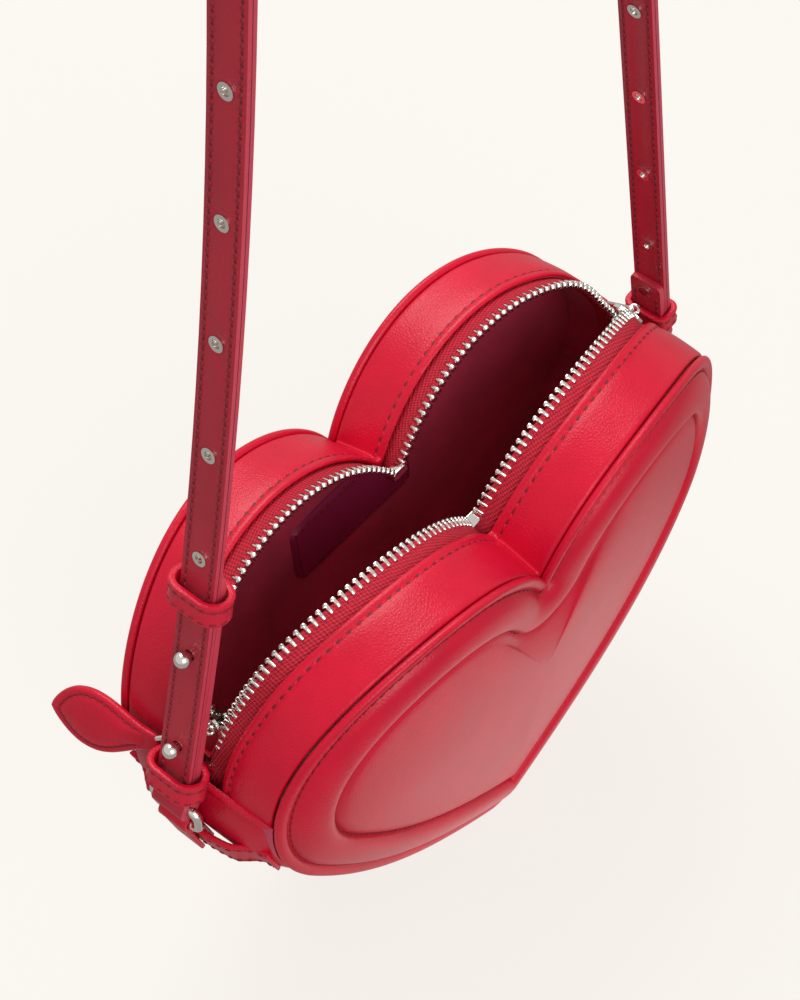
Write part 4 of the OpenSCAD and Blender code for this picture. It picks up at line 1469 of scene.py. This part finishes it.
        def put(turn: Array, grow: Array | float, high: Array | float) -> Array:
            """Points of the loop by angle, distance outside its hollow and height."""
            x, y, z = np.broadcast_arrays(*hollow.outline(turn, grow), high)
            return base + x[:, None] * out + y[:, None] * np.array([0, 1.0, 0]) + z[:, None] * up

        section = bent_line(self.keeper_section, 4, closed=True)

        def shape(u: Array, v: Array) -> Array:
            """Skin of the loop."""
            p = section(v)
            return put(2 * math.pi * u, p[:, 0], p[:, 1])

        obj = sheet(f"{node}_loop", *self.keeper_grid, shape, caps=False)
        place(obj, body, "strap_leather", self.finishes.keeper, [node])
        two_tone(obj, self.finishes.leather, lambda f: f.normal.dot(Vector(up)) > self.rim_facing)
        for k, high in enumerate(self.keeper_rows):

            def line(s: Array, high: float = high) -> Array:
                """Row round the loop."""
                return put(2 * math.pi * s, self.keeper_row_out, high)

            def lift(s: Array) -> Array:
                """Outwards from the loop's middle."""
                return put(2 * math.pi * s, 1.0, 0.0) - put(2 * math.pi * s, 0.0, 0.0)

            self.sewing.row(
                f"{node}_stitch_{k}", body, line, lift, self.stitch, "strap_leather",
                width=self.keeper_row_width,
            )

    def build(self) -> None:
        """Makes the strap, its tabs and its keepers."""
        for node, bevel in self.bevels:
            self.layer(node, bevel)
        outer, inner, folded = self.rows_from
        for path, name, tab in self.tabs:
            self.rows(path, f"{name}_outer", outer, self.rows_to, self.seat + self.thick, 1)
            self.rows(path, f"{name}_inner", tab + inner, self.rows_to, self.seat, -1)
            self.rows(path, f"{name}_tab", folded, tab - folded, -self.tab, -1)
            self.layers_line(path, f"{name}_edge", self.edge_from, self.rows_to)
        for keeper in self.keepers:
            self.keeper(*keeper)


@dataclass
class Pulls(Assembly):
    """The padded leather leaves of the two zip pulls.

    The outline lists shares of the length and of half the width, from the rivet to the tip. The
    section lists shares of the outline and places through the leaf.
    """

    grid: tuple = (120, 60)
    slider: float = math.radians(24)
    reach: float = 49.454
    side: float = 13.5
    drop: float = 11.0
    fall: float = math.radians(19)
    length: float = 33.0
    width: float = 17.0
    stitch: float = 2.4
    stitch_margin: float = 0.06
    groove_share: float = 0.81
    groove_out: float = 1.05
    outline_shares: tuple = (
        (-0.1, 0.0), (-0.095, 0.14), (-0.07, 0.24), (0.0, 0.33), (0.1, 0.43), (0.25, 0.68), (0.4, 0.9),
        (0.55, 1.0), (0.7, 0.93), (0.82, 0.72), (0.91, 0.45), (0.97, 0.2), (1.0, 0.0),
    )
    section: tuple = (
        (0.0, 1.95), (0.35, 1.9), (0.6, 1.65), (0.76, 1.2), (0.8, 1.0), (0.86, 1.15), (0.94, 1.0),
        (1.0, 0.5), (1.0, -0.5), (0.94, -1.0), (0.86, -1.15), (0.8, -1.0), (0.76, -1.2), (0.6, -1.65),
        (0.35, -1.9), (0.0, -1.95),
    )

    def put(self, hand: Hand, x: Array | float, along: Array, wide: Array) -> Array:
        """Places a leaf's local points: x through it, along it from the rivet, and across it."""
        y = along * math.cos(self.fall) + wide * math.sin(self.fall)
        z = -along * math.sin(self.fall) + wide * math.cos(self.fall)
        out, low = self.reach + x, z - self.drop
        c, d = math.cos(self.slider), math.sin(self.slider)
        px = HEART.lobe[0] + out * c - low * d
        return np.stack([hand.value * px, y + self.side, HEART.lobe_height + out * d + low * c], -1)

    def leaf(self, hand: Hand) -> None:
        """One leaf: two faces sewn round a soft filling, with a groove inside the rim."""
        centre = self.length * 0.5
        outline = bent_line(np.array(self.outline_shares) * [self.length, self.width / 2])
        section = bent_line(self.section, 4)

        def ring(u: Array, k: Array | float, x: Array | float) -> Array:
            """Points of the outline drawn in to a share k of its size."""
            p = outline(there_and_back(u))
            sign = np.where(u < 0.5, 1.0, -1.0)
            return self.put(hand, x, centre + (p[:, 0] - centre) * k, sign * p[:, 1] * k)

        def shape(u: Array, v: Array) -> Array:
            """Skin of the leaf."""
            p = section(v)
            return ring(u, p[:, 0], p[:, 1])

        node, body = f"leaf_{hand.label}", f"pull_{hand.label}"
        obj = sheet(f"{node}_pad", *self.grid, shape, caps=False)
        place(obj, body, "red_leather", self.finishes.leather, [node])
        for name, face in (("in", -1), ("out", 1)):

            def line(s: Array, face: int = face) -> Array:
                """Row of stitches inside the rim."""
                u = self.stitch_margin + (1 - 2 * self.stitch_margin) * s
                return ring(u, self.groove_share, face * self.groove_out)

            faced = [face * hand.value * math.cos(self.slider), 0.0, face * math.sin(self.slider)]
            self.sewing.row(f"{node}_stitch_{name}", body, line, steady(faced), self.stitch)

    def build(self) -> None:
        """Makes both leaves."""
        for hand in Hand:
            self.leaf(hand)


@dataclass
class Trim(Assembly):
    """Side bands, ring loops, the inner patch and the metal."""

    band_angle: float = math.radians(15.3)
    band_rise: float = 4.2
    band_base: float = 49.4
    band_half: float = 23.3
    band_height: float = 12.0
    band_thick: float = 1.6
    band_bevel: float = 0.5
    band_margin: float = 1.5
    band_stitch: float = 2.7
    hug_from: float = 13.0
    hug_over: float = 8.0
    hug_gap: float = 0.9
    loop_bevel: float = 0.4
    twist: tuple = (6.2, 9.2)
    patch_grid: tuple = (160, 60)
    patch_half: float = 23.6
    patch_low: float = 92.0
    patch_high: float = 112.8
    patch_thick: float = 1.2
    patch_depth: float = 2.75
    patch_margin: float = 1.6
    patch_roundness: float = 0.22
    patch_steepness: float = 30.0
    patch_stitch: float = 2.6
    patch_stitch_out: float = 0.05
    crisp: float = math.radians(35)

    @property
    def band_radius(self) -> float:
        """Radius of the band's bow."""
        return (self.band_half**2 + self.band_rise**2) / (2 * self.band_rise)

    def band_point(self, hand: Hand, y: Array, up: float, out: float) -> Array:
        """Points on the band's bow, up along the gusset and outwards from the band's face."""
        radius = self.band_radius
        turn = np.arcsin(np.clip(y / radius, -1, 1))
        r = self.band_base + self.band_rise - radius + (radius + self.band_thick + out) * np.cos(turn)
        y = (radius + self.band_thick + out) * np.sin(turn)
        c, d = math.cos(self.band_angle), -math.sin(self.band_angle)
        x, z = HEART.lobe[0] + r * c - up * d, HEART.lobe_height + r * d + up * c
        return self.hug(np.stack([hand.value * x, y, z], -1))

    def hug(self, points: Array) -> Array:
        """Draws the ends of the band in to the gusset."""
        x, y, z = np.abs(points[..., 0]), points[..., 1], points[..., 2]
        c, d = math.cos(self.band_angle), -math.sin(self.band_angle)
        r = (x - HEART.lobe[0]) * c + (z - HEART.lobe_height) * d
        out = np.hypot(r - self.band_base - self.band_rise + self.band_radius, y) - self.band_radius
        up = z - HEART.hub[1]
        reach = np.hypot(x, up)
        edge_x, edge_z = HEART.edge(np.arctan2(x, up), -self.hug_gap)
        gap = np.maximum(reach - np.hypot(edge_x, edge_z - HEART.hub[1]) - out, 0.0)
        k = 1 - ease((np.abs(y) - self.hug_from) / self.hug_over) * gap / reach
        return np.stack([points[..., 0] * k, y, HEART.hub[1] + up * k], -1)

    def band(self, hand: Hand) -> None:
        """One side band with stitches along both its edges."""
        node = f"side_band_{hand.label}"
        obj = rounded_copy(node, f"{node}_leather", self.band_bevel)
        write_points(obj, to_frame(self.hug(from_frame(read_points(obj)))))
        place(obj, "bag", "red_leather", self.finishes.leather, [node])
        for name, edge in (("low", -1), ("high", 1)):
            up = edge * (self.band_height / 2 - self.band_margin)

            def line(s: Array, out: float = 0.0, up: float = up) -> Array:
                """Row along an edge of the band, or the same row moved outwards."""
                return self.band_point(hand, (2 * s - 1) * (self.band_half - self.band_margin), up, out)

            def lift(s: Array, line: Callable = line) -> Array:
                """Outwards from the band."""
                return line(s, 1.0) - line(s)

            self.sewing.row(f"{node}_stitch_{name}", "bag", line, lift, self.band_stitch)

    def loop(self, hand: Hand) -> None:
        """The loop that holds the ring, a rounded copy of its node with finer faces."""
        node = f"ring_loop_{hand.label}"
        obj = rounded_copy(node, f"{node}_leather", self.loop_bevel)
        apply_modifier(obj, "TRIANGULATE")
        apply_modifier(obj, "SUBSURF", subdivision_type="SIMPLE", levels=2)
        dress(obj, self.finishes.leather)
        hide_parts(node)
        c, d = math.cos(self.band_angle), math.sin(self.band_angle)
        middle = self.band_base + self.band_rise + self.band_thick / 2

        def on_axis(up: float) -> Vector:
            """Point of the loop's middle line at a height above the band's middle."""
            x = HEART.lobe[0] + middle * c + up * d
            return Vector(to_frame([hand.value * x, 0.0, HEART.lobe_height - middle * d + up * c]))

        on_axis(self.twist[0])
        on_axis(self.twist[1])
        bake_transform(obj)
        log.info("%s: %d faces between bag and strap", obj.name, len(obj.data.polygons))

    def on_lining(self, x: Array, z: Array, depth: Array | float) -> Array:
        """Points at a depth inside the back seam surface."""
        return np.stack([x, HEART.seam(Side.BACK, x, z) - self.patch_depth - depth, z], -1)

    def patch(self) -> None:
        """The bare patch on the back lining, with stitches along its edges."""
        wide, low, high = self.patch_half, self.patch_low, self.patch_high
        middle, tall = (low + high) / 2, (high - low) / 2

        def stretched(part: Array) -> Array:
            """Share of half a side for a sine or cosine, so that a circle becomes a rounded rectangle."""
            return np.sign(part) * np.abs(part) ** self.patch_roundness

        def shape(u: Array, v: Array) -> Array:
            """Skin of the patch: out over its face and back behind it."""
            turn = 2 * math.pi * u
            k = there_and_back(v)
            x, z = wide * k * stretched(np.cos(turn)), middle + tall * k * stretched(np.sin(turn))
            crown = np.sqrt(np.minimum(1.0, (1 - k) * self.patch_steepness))
            return self.on_lining(x, z, np.where(v < 0.5, 0.0, self.patch_thick * crown))

        obj = sheet("inner_patch_leather", *self.patch_grid, shape, caps=False)
        place(obj, "bag", "lining", self.finishes.patch, ["inner_patch"])
        corners = [(-wide, low), (wide, low), (wide, high), (-wide, high)]
        for k, (a, b) in enumerate(zip(corners, corners[1:] + corners[:1])):

            def line(s: Array, a: tuple = a, b: tuple = b) -> Array:
                """Row along one edge."""
                x = (a[0] + (b[0] - a[0]) * s) * (1 - self.patch_margin / wide)
                z = middle + (a[1] + (b[1] - a[1]) * s - middle) * (1 - self.patch_margin / tall)
                return self.on_lining(x, z, self.patch_thick + self.patch_stitch_out)

            inwards = steady([0.0, -1.0, 0.0])
            self.sewing.row(f"patch_stitch_{k}", "bag", line, inwards, self.patch_stitch, "lining")

    def polish(self) -> None:
        """Smooths the metal nodes that still show."""
        for node in frame["nodes"].values():
            if node.data.materials and node.data.materials[0] == self.finishes.nickel:
                smooth(node, self.crisp)

    def build(self) -> None:
        """Makes the trim and smooths the metal."""
        for hand in Hand:
            self.band(hand)
            self.loop(hand)
        self.patch()
        self.polish()


@dataclass
class Studio:
    """Plain floor, soft light and the camera at the photograph's viewing angle.

    Lengths are in metres, but for the focal length and the picture's height, which are in pixels, the
    sensor and the height of the target above the heart's corner, which are in millimetres.
    """

    azimuth: float = math.radians(-48.335)
    elevation: float = math.radians(53.24)
    roll: float = math.radians(-1.998)
    distance: float = 0.6237
    focal: float = 2266.0
    image_height: float = 1000.0
    sensor: float = 36.0
    clip: tuple = (0.01, 50.0)
    shift_x: float = -0.00883
    shift_y: float = 0.03172
    target: float = 75.0
    floor_size: float = 12.0
    floor_gap: float = 0.001
    floor_colour: Colour = (0.13, 0.1275, 0.1225, 1.0)
    floor_roughness: float = 0.9
    mottles: float = 3.0
    mottle_tone: float = 0.995
    glow_colour: Colour = (1.0, 0.965, 0.915, 1.0)
    glow: float = 0.81
    pool_centre: tuple = (0.02, -0.07, -0.639)
    pool: tuple = (0.05, 0.13)
    pool_edge: float = 0.3
    fade: tuple = (0.5, 2.2)
    far_colour: Colour = (1.10, 1.07, 1.012, 1.0)
    light_colour: Colour = (1.0, 0.985, 0.96, 1.0)
    world_light: float = 0.5
    backdrop_colour: Colour = (0.955, 0.93, 0.88, 1.0)
    mirrored: float = 0.4
    lamps: tuple = (
        ("overhead_soft_box", (0.35, 0.55, 0.55), 0.8, 11.0),
        ("front_soft_box", (-0.45, -1.15, 0.4), 0.9, 11.0),
    )

    def camera(self) -> None:
        """Places the camera."""
        a, e = self.azimuth, self.elevation
        back = Vector((math.sin(a) * math.cos(e), -math.cos(a) * math.cos(e), math.sin(e)))
        right = Vector((math.cos(a), math.sin(a), 0))
        up = back.cross(right)
        across = math.cos(self.roll) * right + math.sin(self.roll) * up
        upward = math.cos(self.roll) * up - math.sin(self.roll) * right
        aim = Vector(to_frame([0.0, 0.0, self.target]))
        data = bpy.data.cameras.new("camera")
        data.sensor_width = self.sensor
        data.lens = data.sensor_width * self.focal / self.image_height
        data.clip_start, data.clip_end = self.clip
        cam = bpy.data.objects.new("camera", data)
        bpy.context.scene.collection.objects.link(cam)
        eye = aim + back * self.distance + across * self.shift_x + upward * self.shift_y
        turn = Matrix((across, upward, back)).transposed().to_4x4()
        cam.matrix_world = Matrix.Translation(eye) @ turn
        bpy.context.scene.camera = cam

    def lamp(self, name: str, spot: Sequence[float], size: float, power: float) -> None:
        """A square soft box aimed at the purse."""
        data = bpy.data.lights.new(name, "AREA")
        data.shape, data.size, data.energy = "SQUARE", size, power
        lamp = bpy.data.objects.new(name, data)
        bpy.context.scene.collection.objects.link(lamp)
        lamp.location = spot
        aim = Vector(to_frame([0.0, 0.0, self.target])) - Vector(spot)
        lamp.rotation_mode = "QUATERNION"
        lamp.rotation_quaternion = aim.to_track_quat("-Z", "Y")

    def floor(self) -> None:
        """A wide pale floor just below the purse, whose glow lights it mostly from a pool at its foot."""
        deselect()
        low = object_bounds()[0].z - self.floor_gap
        bpy.ops.mesh.primitive_plane_add(size=self.floor_size, location=(0, 0, low))
        obj = bpy.context.object
        obj.name = "floor"
        settle(obj)
        b = Coat("floor_paper")
        soft = b.noise(self.mottles, 2.0)
        from_pool = {0: b.coordinates(), 1: self.pool_centre}
        reach = b.node("ShaderNodeVectorMath", {"operation": "DISTANCE"}, from_pool, "Value")
        seen = b.node("ShaderNodeLightPath", output="Is Camera Ray")
        pool = b.mix(reach.ramp(*self.pool), self.glow_colour, shade(self.glow_colour, self.pool_edge))
        shown = b.mix(reach.ramp(*self.fade), self.glow_colour, self.far_colour)
        dress(obj, b.finish(
            Base_Color=b.mix(soft, self.floor_colour, shade(self.floor_colour, self.mottle_tone)),
            Roughness=self.floor_roughness,
            Specular_IOR_Level=0.0,
            Emission_Color=b.mix(seen, pool, shown),
            Emission_Strength=self.glow,
        ))
        obj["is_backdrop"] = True

    def world(self) -> None:
        """Even light from all round, with a pale backdrop for the camera and for reflections."""
        world = bpy.data.worlds.new("studio")
        bpy.context.scene.world = world
        b = Build(world)
        camera = b.node("ShaderNodeLightPath", output="Is Camera Ray")
        rays = camera.output.node.outputs
        glossy, through = Socket(b, rays["Is Glossy Ray"]), Socket(b, rays["Is Transmission Ray"])
        part = b.node(
            "ShaderNodeMath", {"operation": "MULTIPLY_ADD"}, {0: glossy, 1: self.mirrored, 2: through}
        )
        seen = b.node("ShaderNodeMath", {"operation": "ADD", "use_clamp": True}, {0: camera, 1: part})
        light, backdrop = (
            b.node("ShaderNodeBackground", inputs={"Color": colour, "Strength": strength})
            for colour, strength in ((self.light_colour, self.world_light), (self.backdrop_colour, 1.0))
        )
        shown = b.node("ShaderNodeMixShader", inputs={0: seen, 1: light, 2: backdrop})
        b.close("ShaderNodeOutputWorld", shown)

    def build(self) -> None:
        """Sets up the studio."""
        bpy.context.scene.view_settings.view_transform = "Standard"
        self.camera()
        self.world()
        self.floor()
        for lamp in self.lamps:
            self.lamp(*lamp)


def dress_nodes(finishes: Finishes) -> None:
    """Gives every node that still shows its material."""
    slots = {s["node"]: s["material_slot"] for s in frame["record"]["subparts"]}
    by_slot = {
        "red_leather": finishes.leather, "strap_leather": finishes.strap, "lining": finishes.lining,
        "board": finishes.board, "zip_tape": finishes.tape, "nickel": finishes.nickel,
    }
    for name, node in frame["nodes"].items():
        dress(node, by_slot[slots[name]])


def main() -> None:
    """Builds the purse's pieces in order, then the studio."""
    finishes = Finishes()
    dress_nodes(finishes)
    Studio().build()
    sewing = Sewing(finishes)
    for side in Side:
        Panel(finishes, sewing, side).build()
    Gussets(finishes, sewing).build()
    Strap(finishes, sewing).build()
    Pulls(finishes, sewing).build()
    Trim(finishes, sewing).build()


if __name__ == "__main__":
    main()
